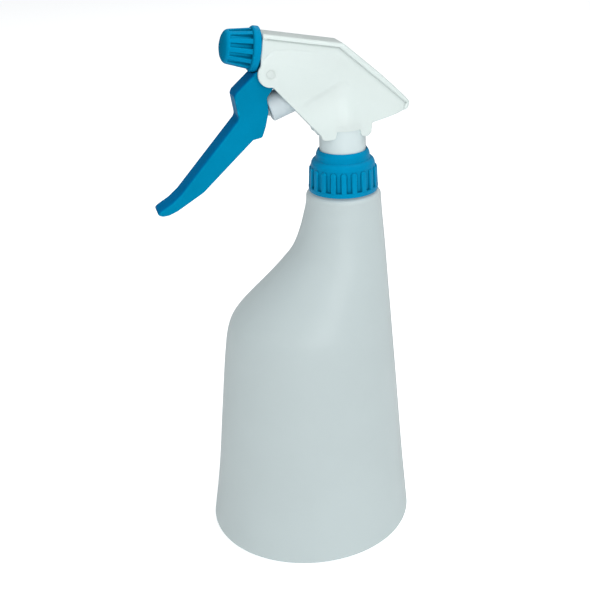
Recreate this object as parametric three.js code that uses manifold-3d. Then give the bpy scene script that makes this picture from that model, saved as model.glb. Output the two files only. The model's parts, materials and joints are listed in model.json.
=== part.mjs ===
// Trigger spray bottle, about 0.75 litre, with a 28 mm screw neck.
// Millimetres, +Z up. The nozzle points to -X (the front); XZ is the plane of symmetry.
// Every piece is drawn about the neck axis (x = 0, y = 0) with the bottle standing on z = 0.
// The group is then moved by ORIGIN_SHIFT_X, which puts the origin in the middle of the
// bounding box's lower face.
// Profiles are rows of [radius, height along the axis]; side outlines are rows of [x, z].
import * as THREE from 'three';
import { mergeVertices } from 'three/addons/utils/BufferGeometryUtils.js';
import Module from 'manifold-3d';

const wasm = await Module();
wasm.setup();

// ---------------------------------------------------------------- shared dimensions
const ORIGIN_SHIFT_X = 27.15;
const SIMPLIFY_TOLERANCE = 0.025;   // detail smaller than this is simplified away
const DEG = Math.PI / 180;

// neck, its thread, and the pump body's flange above it
const NECK_BORE_R = 10.8;
const NECK_R = 12.6;
const NECK_BOTTOM_Z = 176.4;
const NECK_TOP_Z = 187.8;
const NECK_THREAD_PITCH = 4.233;
const NECK_THREAD_Z = 180.4;
const FLANGE_BOTTOM_Z = 189.0;
const FLANGE_TOP_Z = 190.4;
const COLLAR_R = 10.6;

// discharge barrel and nozzle, on an axis that rises forwards
const NOZZLE = frameAlong([-37.7, 0, 244.0], 10, -1);
const NOZZLE_THREAD_PITCH = 2.5;
const NOZZLE_THREAD_START = 1.6;

// pump, on an axis that rises backwards from the trigger into the body
const PUMP = frameAlong([-33.6, 0, 218.0], 20, 1);

const PIVOT = { x: -34.0, z: 234.4 };   // trigger axle

// ---------------------------------------------------------------- helpers
// a frame whose Z runs from origin, tilted up from the world's X (direction 1) or -X
// (direction -1), and whose Y stays the world's Y
function frameAlong(origin, tiltDegrees, direction) {
  const tilt = tiltDegrees * DEG;
  const zAxis = new THREE.Vector3(direction * Math.cos(tilt), 0, Math.sin(tilt));
  const yAxis = new THREE.Vector3(0, 1, 0);
  const xAxis = new THREE.Vector3().crossVectors(yAxis, zAxis);
  return new THREE.Matrix4().makeBasis(xAxis, yAxis, zAxis).setPosition(...origin);
}

// a copy of the frame, moved along its own Z
function slid(frame, distance) {
  return frame.clone().multiply(new THREE.Matrix4().makeTranslation(0, 0, distance));
}

// welds a geometry into a closed mesh whose faces look outwards
function solid(geometry, frame = null) {
  if (frame) geometry.applyMatrix4(frame);
  for (const key of Object.keys(geometry.attributes)) {
    if (key !== 'position') geometry.deleteAttribute(key);
  }
  const welded = mergeVertices(geometry, 1e-4);
  const { position } = welded.attributes;
  const index = welded.index.array;
  const corner = (i) => new THREE.Vector3().fromBufferAttribute(position, i);
  const triangles = [];
  let volume = 0;
  for (let i = 0; i < index.length; i += 3) {
    const [a, b, c] = index.slice(i, i + 3);
    if (a === b || b === c || c === a) continue;
    triangles.push(a, b, c);
    volume += corner(a).dot(corner(b).cross(corner(c)));
  }
  if (volume < 0) {
    for (let i = 0; i < triangles.length; i += 3) {
      [triangles[i], triangles[i + 1]] = [triangles[i + 1], triangles[i]];
    }
  }
  return new wasm.Manifold(new wasm.Mesh({
    numProp: 3,
    vertProperties: new Float32Array(position.array),
    triVerts: new Uint32Array(triangles),
  }));
}

const Y_TO_Z = new THREE.Matrix4().makeRotationX(Math.PI / 2);

// Lathe mesh about Z; place(column, row) gives a vertex as [across X, across Y, height],
// or is left out for a plain solid of revolution.
function lathe(points, segments, place = null) {
  const geometry = new THREE.LatheGeometry(points, segments);
  if (place) {
    for (let i = 0; i <= segments; i++) {
      const column = i % segments;
      const angle = column / segments * 2 * Math.PI;
      for (let row = 0; row < points.length; row++) {
        const { x = 0, halfX, halfY, z } = place(column, row);
        geometry.attributes.position.setXYZ(i * points.length + row,
          x + halfX * Math.sin(angle), z, halfY * Math.cos(angle));
      }
    }
  }
  return geometry.applyMatrix4(Y_TO_Z);
}

// A solid of revolution about Z. A profile that leaves the axis is closed on itself.
// Where groovedParity is 0 or 1, the even or odd columns are cut in by each row's third number.
function turned(profile, segments, frame = null, groovedParity = null) {
  const points = profile.map(([radius, z]) => new THREE.Vector2(radius, z));
  if (profile[0][0] !== 0 || profile.at(-1)[0] !== 0) points.push(points[0].clone());
  const grooved = (column, row) => {
    const [outer, z, depth = 0] = profile[row % profile.length];
    const radius = outer - (column % 2 === groovedParity ? depth : 0);
    return { halfX: radius, halfY: radius, z };
  };
  return solid(lathe(points, segments, groovedParity === null ? null : grooved), frame);
}

function rod(radius, z0, z1, segments, frame) {
  return turned([[0, z0], [radius, z0], [radius, z1], [0, z1]], segments, frame);
}

function box(sizeX, sizeY, sizeZ, frame) {
  return solid(new THREE.BoxGeometry(sizeX, sizeY, sizeZ), frame);
}

function ball(radius, z, frame = new THREE.Matrix4()) {
  return solid(new THREE.SphereGeometry(radius, 12, 8), slid(frame, z));
}

function extruded(outline, depth) {
  const shape = new THREE.Shape(outline.map(([x, y]) => new THREE.Vector2(x, y)));
  return new THREE.ExtrudeGeometry(shape, { depth, bevelEnabled: false, steps: 1 });
}

// a plate drawn by its side outline, centred on y = 0
function plate(outline, width) {
  return solid(extruded(outline, width).translate(0, 0, -width / 2), Y_TO_Z);
}

class Helix extends THREE.Curve {
  constructor(radius, pitch, turns, startZ, startAngle) {
    super();
    Object.assign(this, { radius, pitch, turns, startZ, startAngle });
  }

  getPoint(t, target = new THREE.Vector3()) {
    const angle = this.turns * t * 2 * Math.PI + this.startAngle;
    return target.set(this.radius * Math.cos(angle), this.radius * Math.sin(angle),
      this.startZ + this.pitch * this.turns * t);
  }
}

// a thread or spring: wire is the radius of its many-sided section, startAngle in radians
function coil({ radius, wire, pitch, turns, startZ, stepsPerTurn, sides, frame, startAngle = 0 }) {
  const section = new THREE.Shape(Array.from({ length: sides }, (_, i) => {
    const angle = i / sides * 2 * Math.PI;
    return new THREE.Vector2(wire * Math.cos(angle), wire * Math.sin(angle));
  }));
  section.closePath();
  return solid(new THREE.ExtrudeGeometry(section, {
    steps: Math.round(stepsPerTurn * turns),
    bevelEnabled: false,
    curveSegments: 1,
    extrudePath: new Helix(radius, pitch, turns, startZ, startAngle),
  }), frame);
}

// a pin on the trigger axle's line, running outwards from innerY on one side (-1 or 1)
function pivotPin(radius, length, side, innerY) {
  const frame = new THREE.Matrix4().makeRotationX(-side * Math.PI / 2)
    .setPosition(PIVOT.x, side * innerY, PIVOT.z);
  return rod(radius, 0, length, 16, frame);
}

// ---------------------------------------------------------------- bottle
// front and back edges of the side outline: [z, x]
const BOTTLE_FRONT = [
  [4.5, -72.1], [30, -68.2], [70, -63.8], [100, -60.3], [108, -59.0], [114, -57.0],
  [119, -53.3], [124, -48.3], [132, -39.7], [140, -31.8], [148, -25.2], [156, -21.6],
  [164, -19.2], [172, -17.5], [174.2, -17.4],
];
const BOTTLE_BACK = [
  [4.5, 29.8], [40, 26.8], [80, 23.9], [120, 21.0], [150, 19.2], [172, 17.5], [174.2, 17.4],
];
const BODY_DEPTH_RATIO = 0.92;   // half depth / half width of the oval body
const ROUND_HALF_WIDTH = 17.4;   // the body is round at this half width...
const OVAL_BLEND = 22;           // ...and fully oval where it is this much wider
const HEEL_RADIUS = 4.5;
const BOTTLE_WALL = 1.3;
const BASE_THICKNESS = 1.6;
const PUSH_UP = 2.2;             // the base is dished by this much inside its standing ring
const RING_INSET = 9.0;          // inner edge of the standing ring
const DISH_INSET = 18;
const INNER_WALL_HEIGHTS = [172, 164, 156, 148, 140, 132, 124, 114, 104, 30];

// up the outside of the neck, over its lip and down the bore
const NECK_PROFILE = [
  [16.8, 175.5], [15.4, 176.2], [NECK_R, NECK_BOTTOM_Z], [NECK_R, NECK_TOP_Z - 0.4],
  [NECK_R - 0.4, NECK_TOP_Z], [NECK_BORE_R + 0.3, NECK_TOP_Z], [NECK_BORE_R, NECK_TOP_Z - 0.3],
  [NECK_BORE_R, 176.0], [13.6, 174.4], [15.6, 173.0],
];

// x of a body edge at height z
function edgeX(rows, z) {
  const next = rows.findIndex(([rowZ]) => z <= rowZ);
  if (next === 0) return rows[0][1];
  const [z0, x0] = rows[next - 1];
  const [z1, x1] = rows[next];
  return x0 + (x1 - x0) * (z - z0) / (z1 - z0);
}

// the body's section at outlineZ, drawn in by inset from the outside and set at height z
function bodyRing(outlineZ, inset, z = outlineZ) {
  const front = edgeX(BOTTLE_FRONT, outlineZ);
  const back = edgeX(BOTTLE_BACK, outlineZ);
  const half = (back - front) / 2;
  const blend = Math.min(1, Math.max(0, (half - ROUND_HALF_WIDTH) / OVAL_BLEND));
  return {
    x: (front + back) / 2,
    halfX: half - inset,
    halfY: half * (1 - (1 - BODY_DEPTH_RATIO) * blend) - inset,
    z,
  };
}

function bottle() {
  const foot = (inset, z) => bodyRing(0, inset, z);
  const centre = (z) => ({ ...foot(0, z), halfX: 0, halfY: 0 });
  const rings = [
    // underside, standing ring and heel
    centre(PUSH_UP),
    foot(DISH_INSET, PUSH_UP),
    foot(RING_INSET, 0),
    ...[0, 30, 60].map((angle) => foot(HEEL_RADIUS * (1 - Math.sin(angle * DEG)),
      HEEL_RADIUS * (1 - Math.cos(angle * DEG)))),
    // outside, neck and inside
    ...BOTTLE_FRONT.map(([z]) => bodyRing(z, 0)),
    ...NECK_PROFILE.map(([radius, z]) => ({ x: 0, halfX: radius, halfY: radius, z })),
    ...INNER_WALL_HEIGHTS.map((z) => bodyRing(z, BOTTLE_WALL)),
    // floor
    foot(BOTTLE_WALL, 4.8),
    foot(BOTTLE_WALL + 1.4, 2.6),
    foot(BOTTLE_WALL + 3.4, 1.7),
    foot(RING_INSET + 0.4, 1.7),
    foot(DISH_INSET + 0.5, PUSH_UP + BASE_THICKNESS),
    centre(PUSH_UP + BASE_THICKNESS),
  ];
  const points = rings.map(({ z }) => new THREE.Vector2(0, z));
  const thread = coil({
    radius: NECK_R + 0.3, wire: 0.8, pitch: NECK_THREAD_PITCH, turns: 1.15,
    startZ: NECK_THREAD_Z, stepsPerTurn: 20, sides: 5,
  });
  return solid(lathe(points, 30, (column, row) => rings[row])).add(thread);
}

// ---------------------------------------------------------------- closure and gasket
const CLOSURE_BOTTOM_Z = 177.0;
const CLOSURE_TOP_Z = 196.1;
const CLOSURE_BORE_R = 14.2;
const CLOSURE_HOLE_R = 10.95;
const CLOSURE_RIBS = 20;
const FLANGE_ROOM_R = 13.45;
const FLANGE_ROOM_Z = 190.65;
const GASKET_GAP = 0.1;   // above and below the gasket

function closure() {
  // the third number is the depth of the grooves between the ribs
  const profile = [
    [16.1, CLOSURE_BOTTOM_Z], [16.1, 178.9], [16.0, 179.2, 0.75], [15.65, 187.2, 0.5],
    [15.35, 187.9], [14.85, 188.3], [14.75, 188.7], [14.5, 190.1], [14.1, 190.9],
    [13.4, 191.6], [12.55, 192.2], [12.4, 192.6], [12.15, 194.1], [11.75, 195.1],
    [11.2, CLOSURE_TOP_Z], [CLOSURE_HOLE_R, CLOSURE_TOP_Z], [CLOSURE_HOLE_R, FLANGE_ROOM_Z],
    [FLANGE_ROOM_R, FLANGE_ROOM_Z], [FLANGE_ROOM_R, 188.0], [CLOSURE_BORE_R, 187.4],
    [CLOSURE_BORE_R, CLOSURE_BOTTOM_Z],
  ];
  const thread = coil({
    radius: CLOSURE_BORE_R - 0.02, wire: 0.8, pitch: NECK_THREAD_PITCH, turns: 1.0,
    startZ: NECK_THREAD_Z + NECK_THREAD_PITCH / 2 + 0.05, stepsPerTurn: 22, sides: 6,
    startAngle: 0.037,
  });
  return turned(profile, CLOSURE_RIBS * 2, null, 1).add(thread);
}

function neckGasket() {
  const bottom = NECK_TOP_Z + GASKET_GAP;
  const top = FLANGE_BOTTOM_Z - GASKET_GAP;
  return turned([[9.6, bottom], [13.0, bottom], [13.0, top], [9.6, top]], 24);
}

// ---------------------------------------------------------------- shroud
const SHROUD_HALF = 9.5;
const SHROUD_WALL = 1.5;
const SHROUD_INNER_HALF = SHROUD_HALF - SHROUD_WALL;
const COLLAR_GAP = 0.3;
const ROOF_STEP = { drop: 1.1, width: 1.3 };   // cut along both long edges of the roof

// the roof falls both ways in the side view: gently to the nose, then steeply to the tail
const ROOF_NOSE = [-35.9, 251.3];
const ROOF_BEND = [-0.6, 244.4];
const ROOF_TAIL = [32.3, 215.7];
const NOSE_SLOPE = (ROOF_NOSE[1] - ROOF_BEND[1]) / (ROOF_BEND[0] - ROOF_NOSE[0]);
const TAIL_SLOPE = (ROOF_BEND[1] - ROOF_TAIL[1]) / (ROOF_TAIL[0] - ROOF_BEND[0]);

// a block between the roof lines, moved inwards by drop, and the level limitZ
function roofBlock({ drop, backX, limitZ, width }) {
  const frontX = -60;
  const noseDrop = drop * Math.hypot(1, NOSE_SLOPE);
  const tailDrop = drop * Math.hypot(1, TAIL_SLOPE);
  const bendX = ROOF_BEND[0] - (tailDrop - noseDrop) / (TAIL_SLOPE - NOSE_SLOPE);
  const noseZ = (x) => ROOF_BEND[1] - NOSE_SLOPE * (x - ROOF_BEND[0]) - noseDrop;
  const tailZ = (x) => ROOF_BEND[1] - TAIL_SLOPE * (x - ROOF_BEND[0]) - tailDrop;
  return plate([[frontX, noseZ(frontX)], [bendX, noseZ(bendX)], [backX, tailZ(backX)],
    [backX, limitZ], [frontX, limitZ]], width);
}

// a tall block with straight sides that curve in behind shoulderX to a tip at the back
function planBlock(half, tipX, shoulderX) {
  const side = [[-60, half]];
  for (let k = 0; k < 8; k++) {
    const angle = k / 8 * 90 * DEG;
    side.push([shoulderX + (tipX - shoulderX) * Math.sin(angle), half * Math.cos(angle) ** 0.7]);
  }
  const mirrored = side.map(([x, y]) => [x, -y]);
  return solid(extruded([...mirrored, [tipX, 0], ...side.reverse()], 90).translate(0, 0, 180));
}

function shroud() {
  const pivotBoss = Array.from({ length: 9 }, (_, k) => {
    const angle = (138 + k * 17) * DEG;
    return [PIVOT.x + 5.6 * Math.cos(angle), PIVOT.z + 5.6 * Math.sin(angle)];
  });
  const outline = [
    ROOF_NOSE, [-37.0, 241.6], ...pivotBoss, [-33.0, 228.4], [-12.6, 205.3], [-12.0, 203.6],
    [-10.9, 202.9], [-7.0, 202.9], [-5.9, 203.6], [-5.4, 206.4], [5.4, 206.4], [6.0, 203.8],
    [7.2, 203.0], [9.6, 203.0], [11.0, 204.4], [11.5, 208.7], [29.6, 212.6],
    ROOF_TAIL, ROOF_BEND,
  ];
  const outer = plate(outline, 2 * SHROUD_HALF).intersect(planBlock(SHROUD_HALF, 32.8, 15));
  // below the step the shroud has its full width, above it only the crown stays
  const lower = roofBlock({ drop: ROOF_STEP.drop, backX: 60, limitZ: 150, width: 40 });
  const crown = plate([[-60, 280], [60, 280], [60, 180], [-60, 180]],
    2 * SHROUD_HALF - 2 * ROOF_STEP.width);
  const cavity = roofBlock({
    drop: SHROUD_WALL, backX: 50, limitZ: 150, width: 2 * SHROUD_INNER_HALF,
  }).intersect(planBlock(SHROUD_INNER_HALF, 31.0, 14.5));
  const collarRoom = turned([[0, 190], [COLLAR_R + COLLAR_GAP, 190],
    [COLLAR_R + COLLAR_GAP, 209.2], [10.0, 212.4], [6.4, 215.0], [0, 215.0]], 32);
  let shell = outer.intersect(lower.add(crown)).subtract(cavity).subtract(collarRoom);
  // blind sockets for the trigger's axles
  for (const side of [-1, 1]) {
    shell = shell.subtract(pivotPin(2.3, 1.2, side, SHROUD_INNER_HALF - 0.05));
  }
  return shell;
}

// ---------------------------------------------------------------- pump body
// flange, collar, column, cylinder and barrel in one moulding
const FLANGE_R = 13.1;
const COLUMN_R = 4.4;
const COLUMN_TOP_Z = 236.2;
const BARREL_R = 4.0;
const CYLINDER = { radius: 7.6, boreRadius: 6.5, start: 11.0, end: 26.8, endWall: 1.4 };

// the air vent's ends as [x, z]
const VENT_TOP = [-20.2, 218.2];
const VENT_FOOT = [-8.1, 201.0];

function ventRod(radius, segments) {
  const run = VENT_FOOT[0] - VENT_TOP[0];
  const rise = VENT_FOOT[1] - VENT_TOP[1];
  const frame = frameAlong([VENT_TOP[0], 0, VENT_TOP[1]], Math.atan2(rise, run) / DEG, 1);
  return rod(radius, 0, Math.hypot(run, rise), segments, frame);
}

function pumpBody() {
  const collarAndColumn = turned([
    [0, 184.5], [7.2, 184.5], [7.2, 203], [9.1, 203], [9.1, FLANGE_BOTTOM_Z],
    [FLANGE_R, FLANGE_BOTTOM_Z], [FLANGE_R, FLANGE_TOP_Z], [COLLAR_R, FLANGE_TOP_Z],
    [COLLAR_R, 209.0], [9.7, 212.1], [6.2, 214.6], [COLUMN_R, 216.0],
    [COLUMN_R, COLUMN_TOP_Z], [0, COLUMN_TOP_Z],
  ], 28);
  const barrel = rod(BARREL_R, -37.6, 10.0, 20, NOZZLE);
  const cylinder = rod(CYLINDER.radius, CYLINDER.start, CYLINDER.end, 24, PUMP)
    .add(rod(3.4, CYLINDER.end - 1, 35.2, 16, PUMP));
  const web = plate([[-25, 226], [-25, 241], [-4, 238], [-4, 216], [-7, 212], [-19, 218]], 1.6)
    .subtract(rod(BARREL_R - 0.6, -60, 30, 16, NOZZLE));
  const thread = coil({
    radius: BARREL_R + 0.1, wire: 0.4, pitch: NOZZLE_THREAD_PITCH, turns: 1.2,
    startZ: NOZZLE_THREAD_START, stepsPerTurn: 16, sides: 4, frame: NOZZLE,
  });
  const aboveRoof = roofBlock({ drop: SHROUD_WALL + 0.35, backX: 50, limitZ: 290, width: 40 });
  const ventWall = ventRod(1.7, 10).trimByPlane([0, 0, 1], 203.6);

  // bore for the tube holder, ball chamber and riser
  const inlet = turned([[0, 184], [5.25, 184], [5.25, 197.6], [3.1, 197.6], [3.1, 203.6],
    [1.9, 204.8], [1.9, 236.9], [0, 236.9]], 16);
  const pumpBore = rod(CYLINDER.boreRadius, CYLINDER.start - 1,
    CYLINDER.end - CYLINDER.endWall, 24, PUMP);
  const riserPort = rod(1.2, CYLINDER.end - 2, 34.5, 12, PUMP);
  // outlet passage, valve seat and valve chamber
  const outlet = turned([[0, -37.0], [1.4, -37.0], [1.4, -1.6], [2.7, -0.3], [2.7, 11.0],
    [0, 11.0]], 16, NOZZLE);

  return collarAndColumn.add(cylinder).add(barrel).add(web).add(ventWall).add(thread)
    .subtract(aboveRoof).subtract(inlet).subtract(pumpBore).subtract(riserPort)
    .subtract(outlet)
    // the air vent runs from the cylinder down into the ring-shaped gap inside the collar
    .subtract(ventRod(0.7, 8));
}

// ---------------------------------------------------------------- pieces on the pump axis
const piston = () => turned([
  [2.0, -0.4], [5.6, -0.4], [6.3, 0.3], [6.3, 11.4], [5.6, 11.4], [5.6, 12.6], [6.3, 12.6],
  [6.3, 14.2], [5.2, 14.2], [5.2, 16.6], [6.1, 16.6], [6.1, 17.3], [4.6, 17.3], [4.6, 1.8],
  [2.0, 1.8],
], 24, PUMP);

const pistonRod = () => turned([
  [0, -2.8], [1.6, -2.55], [2.8, -1.8], [3.4, -0.9], [3.4, -0.5], [1.85, -0.5], [1.85, 4.2],
  [1.4, 4.8], [0, 4.8],
], 20, PUMP);

const ventSeal = () => turned([
  [5.65, 11.5], [6.25, 11.5], [6.42, 12.0], [6.25, 12.5], [5.65, 12.5],
], 24, PUMP);

const pistonSeal = () => turned([
  [5.3, 14.35], [6.2, 14.35], [6.4, 14.8], [6.1, 15.4], [6.4, 16.0], [6.2, 16.45],
  [5.3, 16.45],
], 24, PUMP);

function returnSpring() {
  const start = 2.5;
  const end = 24.7;
  const turns = 6.5;
  return coil({
    radius: 3.7, wire: 0.45, pitch: (end - start) / turns, turns,
    startZ: start, stepsPerTurn: 10, sides: 4, frame: PUMP,
  });
}

// ---------------------------------------------------------------- inlet
const tubeHolder = () => turned([
  [3.15, 182.8], [7.0, 182.8], [7.0, 184.2], [5.1, 184.2], [5.1, 197.3], [2.75, 197.3],
  [1.5, 196.0], [1.5, 193.2], [3.15, 193.2],
], 20);

const inletBall = () => ball(2.4, 199.1);

const dipTube = () => turned([[2.1, 12.0], [3.0, 12.0], [3.0, 193.0], [2.1, 193.0]], 14);

function strainer() {
  let cup = turned([
    [0, 6.4], [3.6, 6.4], [4.5, 7.2], [4.5, 18.6], [4.1, 19.4], [3.15, 19.4], [3.15, 11.6],
    [2.4, 11.6], [2.4, 8.0], [0, 8.0],
  ], 16);
  // each slot runs right through, so four make eight openings
  for (let k = 0; k < 4; k++) {
    const frame = new THREE.Matrix4().makeRotationZ(k * Math.PI / 4).setPosition(0, 0, 9.6);
    cup = cup.subtract(box(12, 1.2, 2.4, frame));
  }
  return cup;
}

// ---------------------------------------------------------------- outlet, on the nozzle axis
const outletBall = () => ball(2.2, 1.62, NOZZLE);

const outletSpring = () => coil({
  radius: 1.75, wire: 0.25, pitch: 0.85, turns: 3.6,
  startZ: 3.75, stepsPerTurn: 8, sides: 4, frame: NOZZLE,
});

function swirlInsert() {
  const face = 10.95;
  let insert = turned([[0, 7.4], [2.5, 7.4], [2.5, 10.15], [3.7, 10.15], [3.7, face],
    [0, face]], 16, NOZZLE);
  // crossed swirl slots in the flange's face
  for (const angle of [0, Math.PI / 2]) {
    const frame = slid(NOZZLE, face).multiply(new THREE.Matrix4().makeRotationZ(angle));
    insert = insert.subtract(box(9, 0.7, 0.5, frame));
  }
  return insert;
}

const nozzleSeal = () => turned([
  [4.15, 6.9], [5.1, 6.9], [5.25, 7.5], [5.1, 8.1], [4.15, 8.1],
], 20, NOZZLE);

function nozzleCap() {
  const flutes = 12;
  // the third number is the depth of the flutes
  const profile = [
    [5.4, 0.0], [9.3, 0.0], [9.7, 0.5], [9.7, 2.7], [9.3, 3.2], [8.7, 3.5, 0.9],
    [8.5, 4.0, 1.0], [7.45, 12.0, 0.45], [7.1, 13.2], [5.8, 14.6], [3.2, 15.6], [0.5, 15.8],
    [0.5, 11.5], [5.4, 11.5],
  ];
  const thread = coil({
    radius: 5.3, wire: 0.4, pitch: NOZZLE_THREAD_PITCH, turns: 0.9,
    startZ: NOZZLE_THREAD_START + NOZZLE_THREAD_PITCH / 2, stepsPerTurn: 16, sides: 4,
    frame: NOZZLE,
  });
  return turned(profile, flutes * 2, NOZZLE, 0).add(thread);
}

// ---------------------------------------------------------------- trigger
const TRIGGER_WIDTH = 12.5;
const TRIGGER_WALL = 1.5;

// down the front edge to the tip, then up the back edge and round the pivot
const TRIGGER_OUTLINE = [
  [-41.2, 233.9], [-49.0, 227.2], [-49.8, 225.6], [-48.5, 216.6], [-49.6, 214.4],
  [-76.4, 185.0], [-80.6, 181.6], [-86.6, 178.0],
  [-86.9, 177.0], [-84.9, 176.2], [-82.0, 176.2], [-78.4, 177.6], [-63.3, 187.4],
  [-42.5, 206.0], [-38.5, 206.6], [-37.1, 210.2], [-35.3, 217.8], [-35.6, 223.6],
  [-34.2, 226.2], [-31.0, 230.6], [-30.0, 233.0], [-30.2, 236.0], [-32.0, 238.0],
  [-36.0, 238.0], [-38.4, 236.4],
];
// the hollow between the cheeks, open at the back
const TRIGGER_HOLLOW = [
  [-36.0, 240.0], [-39.9, 234.6], [-47.9, 226.3], [-46.7, 216.9], [-48.0, 213.6],
  [-74.6, 184.6], [-78.0, 181.4], [-77.0, 176.0], [-62.0, 183.0], [-41.0, 202.0],
  [-33.0, 203.0], [-32.0, 225.0], [-25.0, 232.0], [-25.0, 240.0],
];

function trigger() {
  const channel = plate(TRIGGER_OUTLINE, TRIGGER_WIDTH)
    .subtract(plate(TRIGGER_HOLLOW, TRIGGER_WIDTH - 2 * TRIGGER_WALL));
  const pushRib = box(8.6, TRIGGER_WIDTH - TRIGGER_WALL, 1.8, slid(PUMP, -4.0));
  let lever = channel.add(pushRib);
  for (const side of [-1, 1]) lever = lever.add(pivotPin(1.95, 4.0, side, 5.0));
  const nozzleRoom = rod(10.35, -0.5, 30, 24, NOZZLE);
  return lever.subtract(nozzleRoom);
}

// ---------------------------------------------------------------- assembly
const BLUE = 0x018ab8;
const SEAL = { color: 0xcfd6d8, roughness: 0.5 };
const SPRING = { color: 0xb9bec2, roughness: 0.28, metalness: 1 };
const BALL = { color: 0xc8ccd0, roughness: 0.15, metalness: 1 };

function piece(name, shape, { color, roughness, metalness = 0 }) {
  const { vertProperties, triVerts } = shape.simplify(SIMPLIFY_TOLERANCE).getMesh();
  const geometry = new THREE.BufferGeometry();
  geometry.setAttribute('position',
    new THREE.BufferAttribute(new Float32Array(vertProperties), 3));
  geometry.setIndex(new THREE.BufferAttribute(new Uint32Array(triVerts), 1));
  geometry.computeVertexNormals();
  const material = new THREE.MeshStandardMaterial({ color, roughness, metalness });
  const mesh = new THREE.Mesh(geometry, material);
  mesh.name = name;
  return mesh;
}

const sprayBottle = new THREE.Group();
sprayBottle.name = 'spray_bottle';
sprayBottle.add(
  piece('bottle', bottle(), { color: 0xc3d0d1, roughness: 0.38 }),
  piece('closure', closure(), { color: BLUE, roughness: 0.35 }),
  piece('neck_gasket', neckGasket(), { color: 0xdfe3e4, roughness: 0.6 }),
  piece('pump_body', pumpBody(), { color: 0xdfe8ea, roughness: 0.4 }),
  piece('shroud', shroud(), { color: 0xe6ede9, roughness: 0.4 }),
  piece('trigger', trigger(), { color: BLUE, roughness: 0.36 }),
  piece('piston', piston(), { color: 0xd3dde0, roughness: 0.42 }),
  piece('piston_rod', pistonRod(), { color: 0xb7c1c5, roughness: 0.42 }),
  piece('piston_seal', pistonSeal(), SEAL),
  piece('vent_seal', ventSeal(), SEAL),
  piece('return_spring', returnSpring(), SPRING),
  piece('tube_holder', tubeHolder(), { color: 0xdfe6e6, roughness: 0.45 }),
  piece('inlet_ball', inletBall(), BALL),
  piece('dip_tube', dipTube(), { color: 0xe2e8e8, roughness: 0.35 }),
  piece('tube_strainer', strainer(), { color: 0xd8dfe0, roughness: 0.5 }),
  piece('outlet_ball', outletBall(), BALL),
  piece('outlet_spring', outletSpring(), SPRING),
  piece('swirl_insert', swirlInsert(), { color: 0xe8eded, roughness: 0.4 }),
  piece('nozzle_seal', nozzleSeal(), { color: 0x2c2f33, roughness: 0.7 }),
  piece('nozzle_cap', nozzleCap(), { color: BLUE, roughness: 0.34 }),
);
sprayBottle.position.x = ORIGIN_SHIFT_X;

export default sprayBottle;
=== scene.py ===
"""Trigger spray bottle: the fine surfaces and finishes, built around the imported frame.

Shapes are written in millimetres about the neck axis: x = 0 and y = 0 on the axis, the base at
z = 0, the nozzle towards -x. They are moved to the row frame by the neck axis that the record's
closure joint states. Pieces on the pump or nozzle axis are written along that axis's own z.
"""
import json
import math
from contextlib import contextmanager
from dataclasses import dataclass

import bmesh
import bpy
import numpy as np
from mathutils import Matrix, Vector
from mathutils.geometry import delaunay_2d_cdt


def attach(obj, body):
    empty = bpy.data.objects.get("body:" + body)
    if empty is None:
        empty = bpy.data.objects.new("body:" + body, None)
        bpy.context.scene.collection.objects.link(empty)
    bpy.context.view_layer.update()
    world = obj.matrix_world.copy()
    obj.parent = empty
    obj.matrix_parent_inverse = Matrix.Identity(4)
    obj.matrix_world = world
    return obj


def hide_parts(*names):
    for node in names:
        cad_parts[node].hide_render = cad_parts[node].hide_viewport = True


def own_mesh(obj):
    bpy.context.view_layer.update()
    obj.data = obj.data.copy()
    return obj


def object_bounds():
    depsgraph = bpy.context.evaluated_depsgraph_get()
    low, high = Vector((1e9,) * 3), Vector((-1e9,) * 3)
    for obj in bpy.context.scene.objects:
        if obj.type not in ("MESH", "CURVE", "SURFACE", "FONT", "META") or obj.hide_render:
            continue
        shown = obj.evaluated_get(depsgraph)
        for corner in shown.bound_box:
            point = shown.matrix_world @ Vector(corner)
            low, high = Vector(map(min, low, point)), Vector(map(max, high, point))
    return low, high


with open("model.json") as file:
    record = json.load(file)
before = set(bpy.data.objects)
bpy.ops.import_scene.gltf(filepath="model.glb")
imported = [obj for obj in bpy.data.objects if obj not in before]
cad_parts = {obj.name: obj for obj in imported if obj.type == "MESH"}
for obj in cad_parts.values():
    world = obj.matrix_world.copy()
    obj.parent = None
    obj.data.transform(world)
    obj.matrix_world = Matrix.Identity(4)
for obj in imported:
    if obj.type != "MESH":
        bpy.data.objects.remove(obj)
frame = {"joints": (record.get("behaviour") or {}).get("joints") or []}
CAD_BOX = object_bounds()
JOINTS = {joint["name"]: joint for joint in frame["joints"]}
NECK_X = JOINTS["closure_turn"]["pos_m"][0] * 1000

rad = math.radians
TURN = 2 * math.pi


# ------------------------------------------------------------------ frames
def axis_frame(origin, direction):
    """4x4 whose +z runs along direction from origin and whose y stays the world's y."""
    z = np.array(direction, float)
    z /= np.linalg.norm(z)
    y = np.array([0.0, 1.0, 0.0])
    matrix = np.eye(4)
    matrix[:3, :] = np.stack([np.cross(y, z), y, z, np.asarray(origin, float)], -1)
    return matrix


def turned_frame(angle, axis, origin=(0, 0, 0)):
    """4x4 turned by angle about the named axis and moved to origin."""
    matrix = np.eye(4)
    matrix[:3, :3] = Matrix.Rotation(angle, 3, axis)
    matrix[:3, 3] = origin
    return matrix


def neck_point(pos_m):
    return np.array([pos_m[0] * 1000 - NECK_X, pos_m[1] * 1000, pos_m[2] * 1000])


NOZZLE = axis_frame(neck_point(JOINTS["nozzle_turn"]["pos_m"]), JOINTS["nozzle_turn"]["axis"])
PUMP = axis_frame([-33.6, 0, 218.0], JOINTS["piston_stroke"]["axis"])
PIVOT_X, _, PIVOT_Z = neck_point(JOINTS["trigger_pull"]["pos_m"])


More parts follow.
